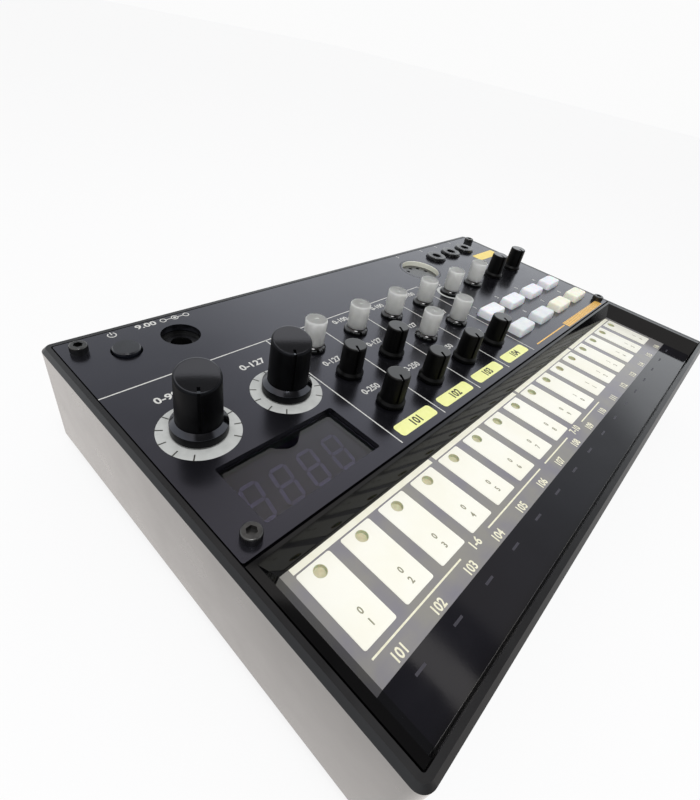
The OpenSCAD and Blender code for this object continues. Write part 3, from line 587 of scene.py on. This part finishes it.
# Large knobs: the same, with more polish on top
crown_abs = facing_up(finish("polished_crown_abs", "#010101", "#030303", 0.42, patch=3, depth=0.0008,
                             Specular_IOR_Level=0.12, Specular_Tint=(0.83, 0.88, 1, 1)),
                      start=0.87, Roughness=0.05, Specular_IOR_Level=0.9)
# Skirts of the large knobs: satin bevels
bevel_abs = facing_up(finish("satin_skirt_abs", "#020202", "#040404", 0.35, patch=3, grain=0.4, depth=0.001,
                             Specular_IOR_Level=0.12, Specular_Tint=(0.86, 0.88, 1, 1)),
                      start=0.3, Roughness=0.14, Specular_IOR_Level=0.62)
# Skirts of the lit knobs: bright on their round shoulder and dull on top, under the cap
skirt_abs = facing_up(finish("polished_skirt_abs", "#020202", "#040404", 0.3, patch=3, grain=0.4,
                             depth=0.001, Specular_IOR_Level=0.2),
                      start=0.2, Roughness=0.08, Specular_IOR_Level=0.65)
skirt_abs = facing_up(skirt_abs, start=0.9, Roughness=0.3, Specular_IOR_Level=0.15)
# Frosted acrylic: milky, light passes and scatters
frosted_acrylic = facing_up(finish("frosted_acrylic", "#FAFBF7", "#F0F1EC", 0.45, patch=2.5, grain=0.2,
                                   depth=0.004, IOR=1.45, Transmission_Weight=0.35, Subsurface_Weight=1.0,
                                   Subsurface_Radius=(1, 1, 1), Subsurface_Scale=0.003),
                            start=0.8, Transmission_Weight=0.8)
silicone_cool = silicone("cool_white_silicone", "#F8FAFF", "#F0F4FE")
silicone_white = silicone("white_silicone", "#EAEEF0", "#E2E6EA")
silicone_cream = silicone("cream_silicone", "#FFFEEE", "#FBF8E2")
ink_white = ink("white_ink", "#DCDCD8", "#CBCBC8")
ink_ring = ink("ring_ink", "#C4C6C4", "#B8BAB8", patch=2.5)
ink_cream = ink("cream_ink", "#F6F3DC", "#EBE7CD", 0.45)
ink_bright = ink("bright_cream_ink", "#FCFAEA", "#F7F4E0", 0.45, patch=2)
ink_dark = ink("dark_ink", "#1E1E18", "#2C2C24")
ink_olive = ink("olive_ink", "#8E8C76", "#9C9A84")
ink_yellow = ink("yellow_ink", "#F9FBAE", "#F4F7A2", 0.45, patch=1.2)
ink_amber = ink("amber_ink", "#FFE57D", "#FBDF78", 0.45, patch=1.2)
ink_orange = ink("orange_ink", "#F8C870", "#F2BE62", 0.45, patch=1.2)
# Blue-black glossy lacquer on the front of the touch board
strip_lacquer = finish("blue_black_gloss_lacquer", "#0C0C14", "#101018", 0.08, grain=0.5, depth=0.0008)

FINISH_OF_SLOT = {
    "case_black": case_abs, "base_black": base_abs, "panel_black": panel_lacquer, "bezel_gloss": bezel_abs,
    "touch_board": board_lacquer, "pad_gold": pad_plating, "screw_black": black_oxide,
    "screw_zinc": zinc_plate, "foot_rubber": foot_rubber, "cell_sleeve": cell_foil,
    "contact_metal": nickel_plate, "board_green": solder_lacquer, "component_black": chip_epoxy,
    "pot_metal": pressed_aluminium, "display_glass": smoked_acrylic, "display_block": digit_block,
    "socket_black": socket_nylon, "shell_metal": tin_with_painted_reflection, "speaker_metal": speaker_paint,
    "lamp_amber": lamp_resin, "power_key_black": key_abs, "knob_black": knob_abs,
    "knob_frosted": frosted_acrylic, "button_white": silicone_cool, "button_cream": silicone_cream,
}


def paint_nodes():
    """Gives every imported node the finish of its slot."""
    for part in frame["record"]["subparts"]:
        for place in frame["nodes"][part["node"]].material_slots:
            place.material = FINISH_OF_SLOT[part["material_slot"]]


# ---- Printing on the panel ----

PANEL_TOP = top_of("top_panel")
panel_low, panel_high = box_of("top_panel")
VOICES = [middle(f"level_{i}_cap").x for i in (1, 2, 3, 4)]
RIGHT_COLUMNS = [middle(node).x for node in ("swing_cap", "accent_cap", "tempo_knob", "volume_knob")]
ROWS = [middle(node).y for node in ("level_1_cap", "pitch_1_knob", "decay_1_knob")]
PITCH = VOICES[1] - VOICES[0]
JACKS = [Vector(mount["pos_m"]) / MM for mount in frame["record"]["mounts"] if mount["name"].endswith("_jack")]
ROW_OF_BARS = row_tree()


def section_lines():
    """Thin lines between the voices, and one across behind them."""
    shape = bmesh.new()
    back = panel_high.y - 23.35
    front = panel_low.y + 1.2
    width = 0.32
    edges = [x - PITCH / 2 for x in VOICES] + [VOICES[-1] + PITCH / 2]
    bar(shape, (panel_low.x, back), (edges[-1], back), width, PANEL_TOP)
    for x in edges:
        bar(shape, (x, back), (x, front), width, PANEL_TOP)
    settle("section_lines", shape, ink_white)


def panel_numbers():
    """Plain scale ranges over the knobs and small numbers over keys and sockets."""
    shape = bmesh.new()
    over_large_knob, over_knob, over_key, left_of_key = 12.8, 6.6, 5.9, 1.5
    for knob, words, along in (("time_knob", "0-999", 0.7), ("depth_knob", "0-127", -0.4)):
        at = middle(knob)
        numbers(shape, words, at.x + along, at.y + over_large_knob, PANEL_TOP, height=2.2, wide=1.1)
    ranges = [(x, y, words) for x in VOICES for y, words in zip(ROWS, ("0-100", "0-127", "0-250"))]
    ranges += [(x, ROWS[0], words) for x, words in zip(RIGHT_COLUMNS, ("0-75", "0-10", "56-240", "0-10"))]
    for x, y, words in ranges:
        numbers(shape, words, x, y + over_knob, PANEL_TOP, height=2.1, wide=0.95)
    for i in range(1, 9):
        at = middle(f"button_{i}")
        numbers(shape, str(i), at.x - left_of_key, at.y + over_key, PANEL_TOP, height=1.7)
    five_pin_x, sockets_y = 37.5, 53.9
    for x, words in zip([jack.x for jack in JACKS] + [five_pin_x], "1235"):
        numbers(shape, words, x, sockets_y, PANEL_TOP, height=1.6)
    settle("panel_numbers", shape, ink_white)


def scale_rings():
    """Warm white rings under the two large knobs, and the plain one round the swing knob."""
    shape, ticks = bmesh.new(), bmesh.new()
    for knob, inner, outer in (("time_knob", 5.2, 8.72), ("depth_knob", 5.2, 8.72), ("swing_cap", 4.0, 5.0)):
        band(shape, inner, outer, PANEL_TOP, PANEL_TOP + FILM, middle(knob)[:2], 96)
    settle("scale_rings", shape, ink_ring)
    tree = spoke_tree()
    sizes = {"Count": 11, "First Angle": math.radians(230), "Step": math.radians(-28), "Inner Radius": 7.15,
             "Length": 1.75, "Width": 0.27, "Thickness": FILM, "Finish": ink_dark}
    for knob in ("time_knob", "depth_knob"):
        grow(ticks, tree, sizes, (*middle(knob)[:2], PANEL_TOP + 1.5 * FILM))
    settle("scale_ticks", ticks, ink_dark)


def voice_plates():
    """A yellow plate in front of each voice, with a plain number on it."""
    plates, figures = bmesh.new(), bmesh.new()
    y = panel_low.y + 4.1
    for voice, words in zip(VOICES, ("101", "102", "103", "104")):
        x = voice + 0.2
        film(plates, round_box(x, y, width=14.4, depth=3.8, radius=1.0), PANEL_TOP)
        numbers(figures, words, x, y, PANEL_TOP + FILM, height=2.5)
    settle("voice_plates", plates, ink_yellow)
    settle("voice_figures", figures, ink_dark)


def orange_marks():
    """A plain block behind the right knobs, and a thin line and a thick one in front of the keys."""
    shape, block = bmesh.new(), bmesh.new()
    film(block, round_box(84.3, 36.9, width=17.4, depth=5.0, radius=0.6), PANEL_TOP)
    line_y, thin_start, thin_end, thick_start, thick_y = -16.0, 26.5, 51, 52.4, -16.3
    bar(shape, (thin_start, line_y), (thin_end, line_y), 0.45, PANEL_TOP)
    grow(shape, ROW_OF_BARS, {"Count": 26, "Pitch": 1.42, "Width": 1.12, "Length": 2.9, "Thickness": FILM,
                              "Finish": ink_orange}, (thick_start, thick_y, PANEL_TOP + FILM / 2))
    settle("orange_marks", shape, ink_orange)
    settle("amber_block", block, ink_amber)


def socket_symbols():
    """The usual standby sign over the power key, and polarity rings over the inlet."""
    shape = bmesh.new()
    key = middle("power_button")
    x, y, radius, stroke, steps = key.x + 0.1, key.y + 7.8, 1.0, 0.28, 20
    arc = [(x + radius * math.cos(a), y + radius * math.sin(a))
           for a in (math.radians(125 + 290 * i / steps) for i in range(steps + 1))]
    for start, end in zip(arc, arc[1:]):
        bar(shape, start, end, stroke, PANEL_TOP)
    bar(shape, (x, y), (x, y + 1.3), stroke, PANEL_TOP)
    x, y, line = middle("dc_jack").x, panel_high.y - 1.35, 0.25
    numbers(shape, "9.00", x - 5.3, y, PANEL_TOP, height=2.0, wide=1.25)
    centre, apart, link = x + 3.0, 3.4, 0.8
    for along, radius in ((-apart, 0.9), (0.0, 1.0), (apart, 0.9)):
        band(shape, radius - line, radius, PANEL_TOP, PANEL_TOP + FILM, (centre + along, y), 24)
    film(shape, round_box(centre, y, width=0.8, depth=0.8, radius=0.38), PANEL_TOP)
    for along in (-1.75, 1.75):
        bar(shape, (centre + along - link, y), (centre + along + link, y), line, PANEL_TOP)
    settle("socket_symbols", shape, ink_white)


# ---- Touch board ----

BOARD_TOP = top_of("touch_board")
PAD_TOP = top_of("touch_pads")
board_low, board_high = box_of("touch_board")
pads_low, pads_high = box_of("touch_pads")
PADS = 16
PAD_WIDTH = 8.19
PAD_PITCH = (pads_high.x - pads_low.x - PAD_WIDTH) / (PADS - 1)
PAD_CENTRES = [pads_low.x + PAD_WIDTH / 2 + i * PAD_PITCH for i in range(PADS)]
STRIP_EDGE = pads_low.y - 5.2


def touch_strip():
    """The black glossy strip along the front of the touch board, with a faint mark for each step."""
    shape, marks = bmesh.new(), bmesh.new()
    margin = 0.1
    film(shape, round_box(0, (board_low.y + STRIP_EDGE) / 2, board_high.x - board_low.x - margin,
                          STRIP_EDGE - board_low.y - margin, radius=0.05, steps=1), BOARD_TOP)
    settle("touch_strip", shape, strip_lacquer)
    grow(marks, ROW_OF_BARS, {"Count": PADS, "Pitch": PAD_PITCH, "Width": 2.6, "Length": 0.5,
                              "Thickness": FILM, "Finish": digit_block},
         (PAD_CENTRES[0] + 0.5, STRIP_EDGE - 2.4, BOARD_TOP + FILM))
    settle("strip_marks", marks, digit_block)


def touch_print():
    """Cream printing round the pads: a bar behind each group of four, brackets and numbers in front."""
    shape, bright = bmesh.new(), bmesh.new()
    half = PAD_WIDTH / 2
    front, back, past_group = pads_high.y + 0.4, pads_high.y + 1.75, 1.5
    for group in range(4):
        start = PAD_CENTRES[4 * group] - half
        end = PAD_CENTRES[4 * group + 3] + half + (past_group if group < 3 else 0)
        film(bright, [(start, front), (end, front), (end, back), (start, back)], BOARD_TOP)
    bracket_y, number_room = pads_low.y - 1.45, 5.5
    for first, last in ((0, 5), (6, 9)):
        start, end = PAD_CENTRES[first] - half, PAD_CENTRES[last] + half
        centre = (start + end) / 2
        for left, right in ((start, centre - number_room), (centre + number_room, end)):
            bar(shape, (left, bracket_y), (right, bracket_y), 0.35, BOARD_TOP)
        numbers(shape, f"{first + 1}-{last + 1}", centre, bracket_y, BOARD_TOP, height=2.1)
    for i, x in enumerate(PAD_CENTRES):
        numbers(shape, f"{101 + i}", x, bracket_y - 2.3, BOARD_TOP, height=2.0)
    settle("touch_print", shape, ink_cream)
    settle("group_bars", bright, ink_bright)


def pad_numbers():
    """The two figures of each pad's number, one in front of the other."""
    shape = bmesh.new()
    for i, x in enumerate(PAD_CENTRES):
        for figure, forward in zip(f"{i + 1:02d}", (5.0, 2.5)):
            numbers(shape, figure, x + 0.2, pads_low.y + forward, PAD_TOP, height=1.45)
    settle("pad_numbers", shape, ink_olive)


def display_digits():
    """Four unlit digits on the block behind the window."""
    shape = bmesh.new()
    count, pitch, centre_x, centre_y = 4, 7.35, -72.5, -8.4
    first = centre_x - (count - 1) / 2 * pitch
    grow(shape, segment_tree(), {"Count": count, "Pitch": pitch, "Width": 3.8, "Height": 8.8, "Bar": 0.85,
                                 "Slant": 0.2, "Thickness": FILM, "Finish": bar_diffuser},
         (first, centre_y, top_of("display_module") + FILM / 2))
    settle("display_digits", shape, bar_diffuser)


# ---- Screws, knobs, keys and sockets ----

# Knobs stand this far over the panel
KNOB_GAP = 0.4
# A knob's bore is this much wider than its shaft, on the radius
SHAFT_FIT = 0.05


def cap_screws():
    """Socket cap screws that hold the panel down, in place of the plain ones."""
    shape = bmesh.new()
    low, high = box_of("panel_screws")
    radius = 2.0
    tree = cap_screw_tree()
    sizes = {"Radius": radius - 0.03, "Height": 2.0, "Edge": 0.3, "Socket Radius": 1.08, "Socket Depth": 1.0,
             "Shank Radius": 0.95, "Shank Length": PANEL_TOP - low.z, "Count": 36, "Ridge": 0.07,
             "Finish": black_oxide}
    for x in (low.x + radius, high.x - radius):
        for y in (low.y + radius, high.y - radius):
            grow(shape, tree, sizes, (x, y, PANEL_TOP))
    settle("cap_screws", shape, black_oxide, stands_for=["panel_screws"])


def axis_of(node):
    """The middle of a turned node, its radius, and its lowest and highest point."""
    low, high = box_of(node)
    return ((low.x + high.x) / 2, (low.y + high.y) / 2), (high.x - low.x) / 2, low.z, high.z


def knob_part(knob, part, profile, at, skin, bore, node=None, ceiling=None, groove=(),
              slant=None):
    """A turned part of a knob, in place of a node. Its bore goes right through, or up to a ceiling. Its
    groove is cut by boxes that start at a (radius, height). A slant of (height, radius, fall) leans what
    is higher down toward the pointer, from the radius at the back."""
    shape = bmesh.new()
    rim, roof = profile[-1]
    inside = [(bore, roof)] if ceiling is None else [(0, roof), (0, ceiling), (bore, ceiling)]
    turned(shape, [(bore, profile[0][1]), *profile, (rim - 0.1, roof), *inside], at, 72)
    if slant:
        height, back, fall = slant
        for vert in shape.verts:
            if vert.co.z > height:
                along = (vert.co.x - at[0]) * math.cos(POINTER) + (vert.co.y - at[1]) * math.sin(POINTER)
                vert.co.z -= fall * (along + back)
    if groove:
        tool = bmesh.new()
        turn = Matrix.Rotation(POINTER, 2)
        side, length, above = 0.32, 5, 3
        for start, height in groove:
            box = [(start, -side), (start + length, -side), (start + length, side), (start, side)]
            prism(tool, [Vector(at) + turn @ Vector(corner) for corner in box], height, roof + above)
        shape = carved(shape, tool)
    settle(f"{knob}_{part}", shape, skin, f"{knob}_control", [f"{knob}_{node}"] if node else (), True)


def shaft(knob, at, bore, low, high, skin):
    """The round shaft in a knob's bore."""
    shape = bmesh.new()
    radius, bevel = bore - SHAFT_FIT, 0.3
    turned(shape, [(0, low), (radius, low), (radius, high - bevel), (radius - bevel, high), (0, high)], at, 32)
    settle(f"{knob}_shaft", shape, skin, f"{knob}_control", smooth=True)


def large_knob(knob):
    """A large knob: a dull body whose top slants toward its pointer groove, on a polished skirt."""
    at, radius, low, top = axis_of(f"{knob}_knob")
    base = PANEL_TOP + KNOB_GAP
    shoulder = PANEL_TOP + 3.4
    bore, width, foot, edge, bevel = 3.05, 4.6, 4.83, 0.5, 0.15
    fall = math.tan(math.radians(13))
    top_groove, side_groove = 2.9, 4.2
    groove_floor = top - fall * (width - edge + top_groove) - 0.5
    body = [(foot, shoulder - bevel), (foot, shoulder), *fillet((width - edge, top - edge), edge, 0, 90, 6)]
    knob_part(knob, "knob_body", body, at, crown_abs, bore, "knob", ceiling=top - 2.5,
              groove=[(top_groove, groove_floor), (side_groove, shoulder + 0.4)],
              slant=(top - 1.2, width - edge, fall))
    skirt = [(radius - bevel, base), (radius, base + bevel),
             *fillet((radius - bevel, PANEL_TOP + 2.4), bevel, 0, 48, 3), (foot + 0.01, shoulder)]
    knob_part(knob, "knob_skirt", skirt, at, bevel_abs, bore)
    shaft(knob, at, bore, low, top - 2.8, nickel_plate)


def small_knob(knob):
    """A small dull knob on a low skirt, with a groove from the middle of its top down its side."""
    at, radius, low, top = axis_of(f"{knob}_knob")
    base = PANEL_TOP + KNOB_GAP
    bore, width, edge, corner = 1.8, 3.0, 0.4, 0.25
    profile = [(radius - 0.15, base), (radius, base + 0.15),
               *fillet((radius - corner, PANEL_TOP + 1.1), corner, 0, 45, 3),
               (3.15, PANEL_TOP + 1.9), *fillet((width - edge, top - edge), edge, 0, 90, 5)]
    knob_part(knob, "knob_body", profile, at, knob_abs, bore, "knob", ceiling=top - 1.7,
              groove=[(0.7, top - 0.4), (2.6, PANEL_TOP + 2.2)])
    shaft(knob, at, bore, low, top - 2, nickel_plate)


def lit_knob(knob):
    """A lit knob: a frosted cap with a moulding point on top, and a bright black skirt under it."""
    at, radius, low, high = axis_of(f"{knob}_cap")
    bore, edge = 1.8, 0.5
    cap = [(radius - 0.15, low), (radius - 0.1, low + 0.15),
           *fillet((radius - edge, high - edge), edge, 0, 90, 5),
           (1.6, high - 0.08), (0.42, high - 0.1), (0.32, high - 0.28)]
    knob_part(knob, "frosted_cap", cap, at, frosted_acrylic, bore, "cap", ceiling=high - 1.7)
    at, radius, low, high = axis_of(f"{knob}_skirt")
    base, roof, shoulder = PANEL_TOP + 0.15, PANEL_TOP + 1.8, 1.45
    skirt = [(radius - 0.1, base), (radius, base + 0.1),
             *fillet((radius - shoulder, roof - shoulder), shoulder, 0, 90, 9)]
    knob_part(knob, "bright_skirt", skirt, at, skirt_abs, bore, "skirt")
    shaft(knob, at, bore, low, high, frosted_acrylic)


def rubber_key(number):
    """A function key of soft rubber: tapered, with soft edges, on a flange and a stem under the panel."""
    node = f"button_{number}"
    low, high = box_of(node)
    x, y = (low.x + high.x) / 2, (low.y + high.y) / 2
    flange = 2
    width, depth = high.x - low.x, high.y - low.y - flange
    shape = bmesh.new()
    collar = PANEL_TOP - 3.1
    prism(shape, round_box(x, y, width, depth + flange, 1.0, 3), collar, collar + 1)
    prism(shape, round_box(x, y, 3, 3, 0.1, 1), low.z, collar)
    # Inset from the sides, inset from front and back, height and corner radius of each level
    levels = ((0, 0, collar + 1, 0.9), (0, 0, PANEL_TOP, 0.9), (0.4, 0.15, high.z - 0.55, 0.9),
              (0.5, 0.25, high.z - 0.25, 0.9), (0.7, 0.45, high.z - 0.06, 0.8), (1.0, 0.75, high.z, 0.6))
    loft(shape, [(round_box(x, y, width - 2 * inward, depth - 2 * forward, corner, 4), height)
                 for inward, forward, height, corner in levels])
    soft = silicone_cream if number in (7, 8) else silicone_white if number in (5, 6) else silicone_cool
    settle(f"rubber_key_{number}", shape, soft, f"{node}_key", [node], True)


def jack_collars():
    """A round-edged nut on each small socket, and a thin metal ring in its mouth."""
    nuts, eyelets = bmesh.new(), bmesh.new()
    low = top_of("audio_jacks") - 0.5
    high = low + 0.95
    mouth, rim, edge = 2.6, 4.16, 0.4
    inner, outer, curl, sunk = 1.83, 2.62, 0.12, 0.16
    for jack in JACKS:
        turned(nuts, [(mouth, low), (rim, low), *fillet((rim - edge, high - edge), edge, 0, 90, 4),
                      (mouth, high - 0.1)], jack[:2], 48)
        turned(eyelets, [(inner, low - 0.2), (outer, low - 0.2),
                         *fillet((outer - curl, high - sunk), curl, 0, 90, 3),
                         *fillet((inner + curl, high - sunk), curl, 90, 180, 3)], jack[:2], 40)
    settle("jack_nuts", nuts, socket_nylon, smooth=True)
    settle("jack_eyelets", eyelets, dark_nickel, smooth=True)


def socket_lining():
    """The panel's lip over the near rim of the five-pin socket's shell, and the black step inside it."""
    lip, step = bmesh.new(), bmesh.new()
    low, high = box_of("midi_shell")
    at = ((low + high) / 2).to_2d()
    outer = (high.x - low.x) / 2
    lip_width, over, thin = 0.56, 0.06, 0.02
    band(lip, outer - lip_width, outer + over, high.z - thin, high.z + thin, at, 96)
    # The lip covers more of the shell on the near side, because its opening is off the centre
    for vert in lip.verts:
        if (vert.co.xy - at).length < outer:
            vert.co.xy += Vector((0.52, 0.3))
    step_width, play, sunk = 1.7, 0.46, 2.0
    band(step, outer - step_width, outer - play, high.z - sunk, high.z - sunk + 0.2, at, 96)
    settle("socket_lip", lip, panel_lacquer)
    settle("socket_step", step, socket_nylon)


def lamp_sleeves():
    """A pale resin sleeve in the lamp hole of each pad."""
    shape = bmesh.new()
    low, high = top_of("pad_lamps") - 0.2, PAD_TOP + 0.02
    y = middle("pad_lamps").y
    inner, mouth, outer = 1.2, 1.26, 1.34
    for x in PAD_CENTRES:
        turned(shape, [(inner, low), (outer, low), (outer, high), (mouth, high)], (x, y), 32)
    settle("lamp_sleeves", shape, lamp_resin, smooth=True)


def door_grip():
    """Finger ribs across the battery door, so that it can be slid."""
    shape = bmesh.new()
    low, high = box_of("battery_door")
    from_edge = 5
    grow(shape, ROW_OF_BARS, {"Count": 7, "Pitch": 1.6, "Width": 0.7, "Length": 22.0, "Thickness": 0.5,
                              "Finish": base_abs},
         ((low.x + high.x) / 2, low.y + from_edge, low.z), math.pi / 2)
    settle("door_grip", shape, base_abs, "door")


# ---- Camera, light and stage ----

def set_camera():
    """A close wide view over the left front corner, tilted a little to the left."""
    place = Vector((-119.84, -49.64, 99.59)) * MM
    aim = Vector((-48.67, 0.52, 30.7)) * MM
    roll = math.radians(-12.93)
    camera = new_object("camera", bpy.data.cameras.new("camera"))
    camera.data.angle = math.radians(82.755)
    camera.data.clip_start = 5 * MM
    camera.data.clip_end = 20
    ahead = (aim - place).normalized()
    level = ahead.cross(Vector((0, 0, 1))).normalized()
    upright = level.cross(ahead)
    up = math.cos(roll) * upright + math.sin(roll) * level
    right = ahead.cross(up)
    camera.matrix_world = Matrix.Translation(place) @ Matrix((right, up, -ahead)).transposed().to_4x4()
    bpy.context.scene.camera = camera


def set_light():
    """A white room. The world gives even light, and mirrors show it as a room: pale near the horizon,
    greyer and warmer higher up, with a dark ceiling that starts at a sharp edge, and a dark corner
    behind the viewer. A lamp high over the viewer makes highlights and shadows."""
    world = bpy.data.worlds.new("room")
    world.use_nodes = True
    tree = world.node_tree
    mirrored = ray(tree, "Glossy").reckon("MAXIMUM", ray(tree, "Transmission"))
    way = out(tree, "ShaderNodeTexCoord", pick="Generated")
    height = axes(tree, way)[2]

    def blend(value, start, end, first=0.0, last=1.0):
        return ramp(tree, value, start, end, first, last, interpolation_type="SMOOTHSTEP")

    def toward(*direction):
        return out(tree, "ShaderNodeVectorMath", {0: way, 1: direction}, pick="Value", operation="DOT_PRODUCT")

    # The ceiling's edge: a straight one low down, another one higher up, and a round one overhead
    overhead = mix(tree, blend(height, 0.86, 0.866),
                   blend(toward(0.436, 0.739, -0.514), -0.001, 0.001, 1.0, 0.0),
                   blend(height, 0.8915, 0.8935))
    ceiling = mix(tree, blend(height, 0.815, 0.83),
                  blend(toward(-0.132, -0.898, 0.42), 0.0, 0.03, 0.0, 0.64), overhead)
    right_half = blend(toward(1.0, 0.0, 0.0), 0.1, 0.2)
    far_half = blend(toward(0.0, 0.447, 0.894), 0.34, 0.447)
    # Darkness low down behind the viewer, the viewer overhead, and a dim patch on the far side
    near = toward(-0.755, -0.656, 0.0)
    low_dark = mix(tree, blend(height, 0.12, 0.3), blend(near, -0.05, 0.45, 1.0, 0.05), 1.0)
    viewer = blend(toward(-0.13, -0.62, 0.773), 0.83, 0.93, 1.0, 0.13)
    dim_patch = blend(toward(0.198, 0.740, 0.643), 0.9, 0.98, 1.0, 0.6)
    under_ceiling = blend(ceiling * right_half * far_half, 0.0, 1.0, 1.0, 0.17)
    pale = blend(height, 0.55, 0.72, 1.42, 1.12) * viewer * dim_patch * low_dark * under_ceiling
    cool_to_warm = mix_colours(tree, blend(height, 0.6, 0.8), (0.94, 0.97, 1, 1), (1, 0.96, 0.94, 1))
    feed(tree, tree.nodes["Background"],
         {"Color": mix_colours(tree, mirrored, (1, 1, 1, 1), cool_to_warm),
          "Strength": mix(tree, ray(tree, "Camera"), mix(tree, mirrored, 0.6, pale), 0.97)})
    bpy.context.scene.world = world
    lamp = new_object("window", bpy.data.lights.new("window", "AREA"))
    lamp.data.shape = "DISK"
    lamp.data.size = 0.22
    lamp.data.energy = 1.45
    lamp.location = (-0.149, -0.127, 0.556)
    lamp.rotation_euler = (Vector((0, 0, 0.03)) - lamp.location).to_track_quat("-Z", "Y").to_euler()


def set_floor():
    """A plain white table top that keeps the object's shadow."""
    made = bpy.data.materials.new("white_table")
    made.use_nodes = True
    tree = made.node_tree
    skin = tree.nodes["Principled BSDF"]
    feed(tree, skin, {"Base Color": linear("#F6F6F8"), "Roughness": 0.6})
    glossy = ray(tree, "Glossy")
    glow = ray(tree, "Camera").reckon("MAXIMUM", glossy) * 0.85
    warm = mix_colours(tree, glossy, (1, 1, 1, 1), (1, 0.95, 0.91, 1))
    white = out(tree, "ShaderNodeEmission", {"Color": warm, "Strength": 1.0})
    both = out(tree, "ShaderNodeMixShader", {0: glow, 1: Value(tree, skin.outputs[0]), 2: white})
    feed(tree, tree.nodes["Material Output"], {"Surface": both})
    shape = bmesh.new()
    bmesh.ops.create_grid(shape, x_segments=1, y_segments=1, size=3000)
    mesh = to_mesh(shape, "table_top")
    mesh.materials.append(made)
    new_object("table_top", mesh)


set_camera()
set_light()
set_floor()
paint_nodes()
section_lines()
panel_numbers()
scale_rings()
voice_plates()
orange_marks()
socket_symbols()
touch_strip()
touch_print()
pad_numbers()
display_digits()
cap_screws()
for knob_name in ("time", "depth"):
    large_knob(knob_name)
for knob_name in ("pitch_1", "pitch_2", "decay_1", "decay_2", "decay_3", "decay_4", "tempo", "volume"):
    small_knob(knob_name)
for knob_name in ("level_1", "level_2", "level_3", "level_4", "tone_3", "tone_4", "swing", "accent"):
    lit_knob(knob_name)
for key_number in range(1, 9):
    rubber_key(key_number)
jack_collars()
socket_lining()
lamp_sleeves()
door_grip()

bpy.context.scene.view_settings.view_transform = "Standard"
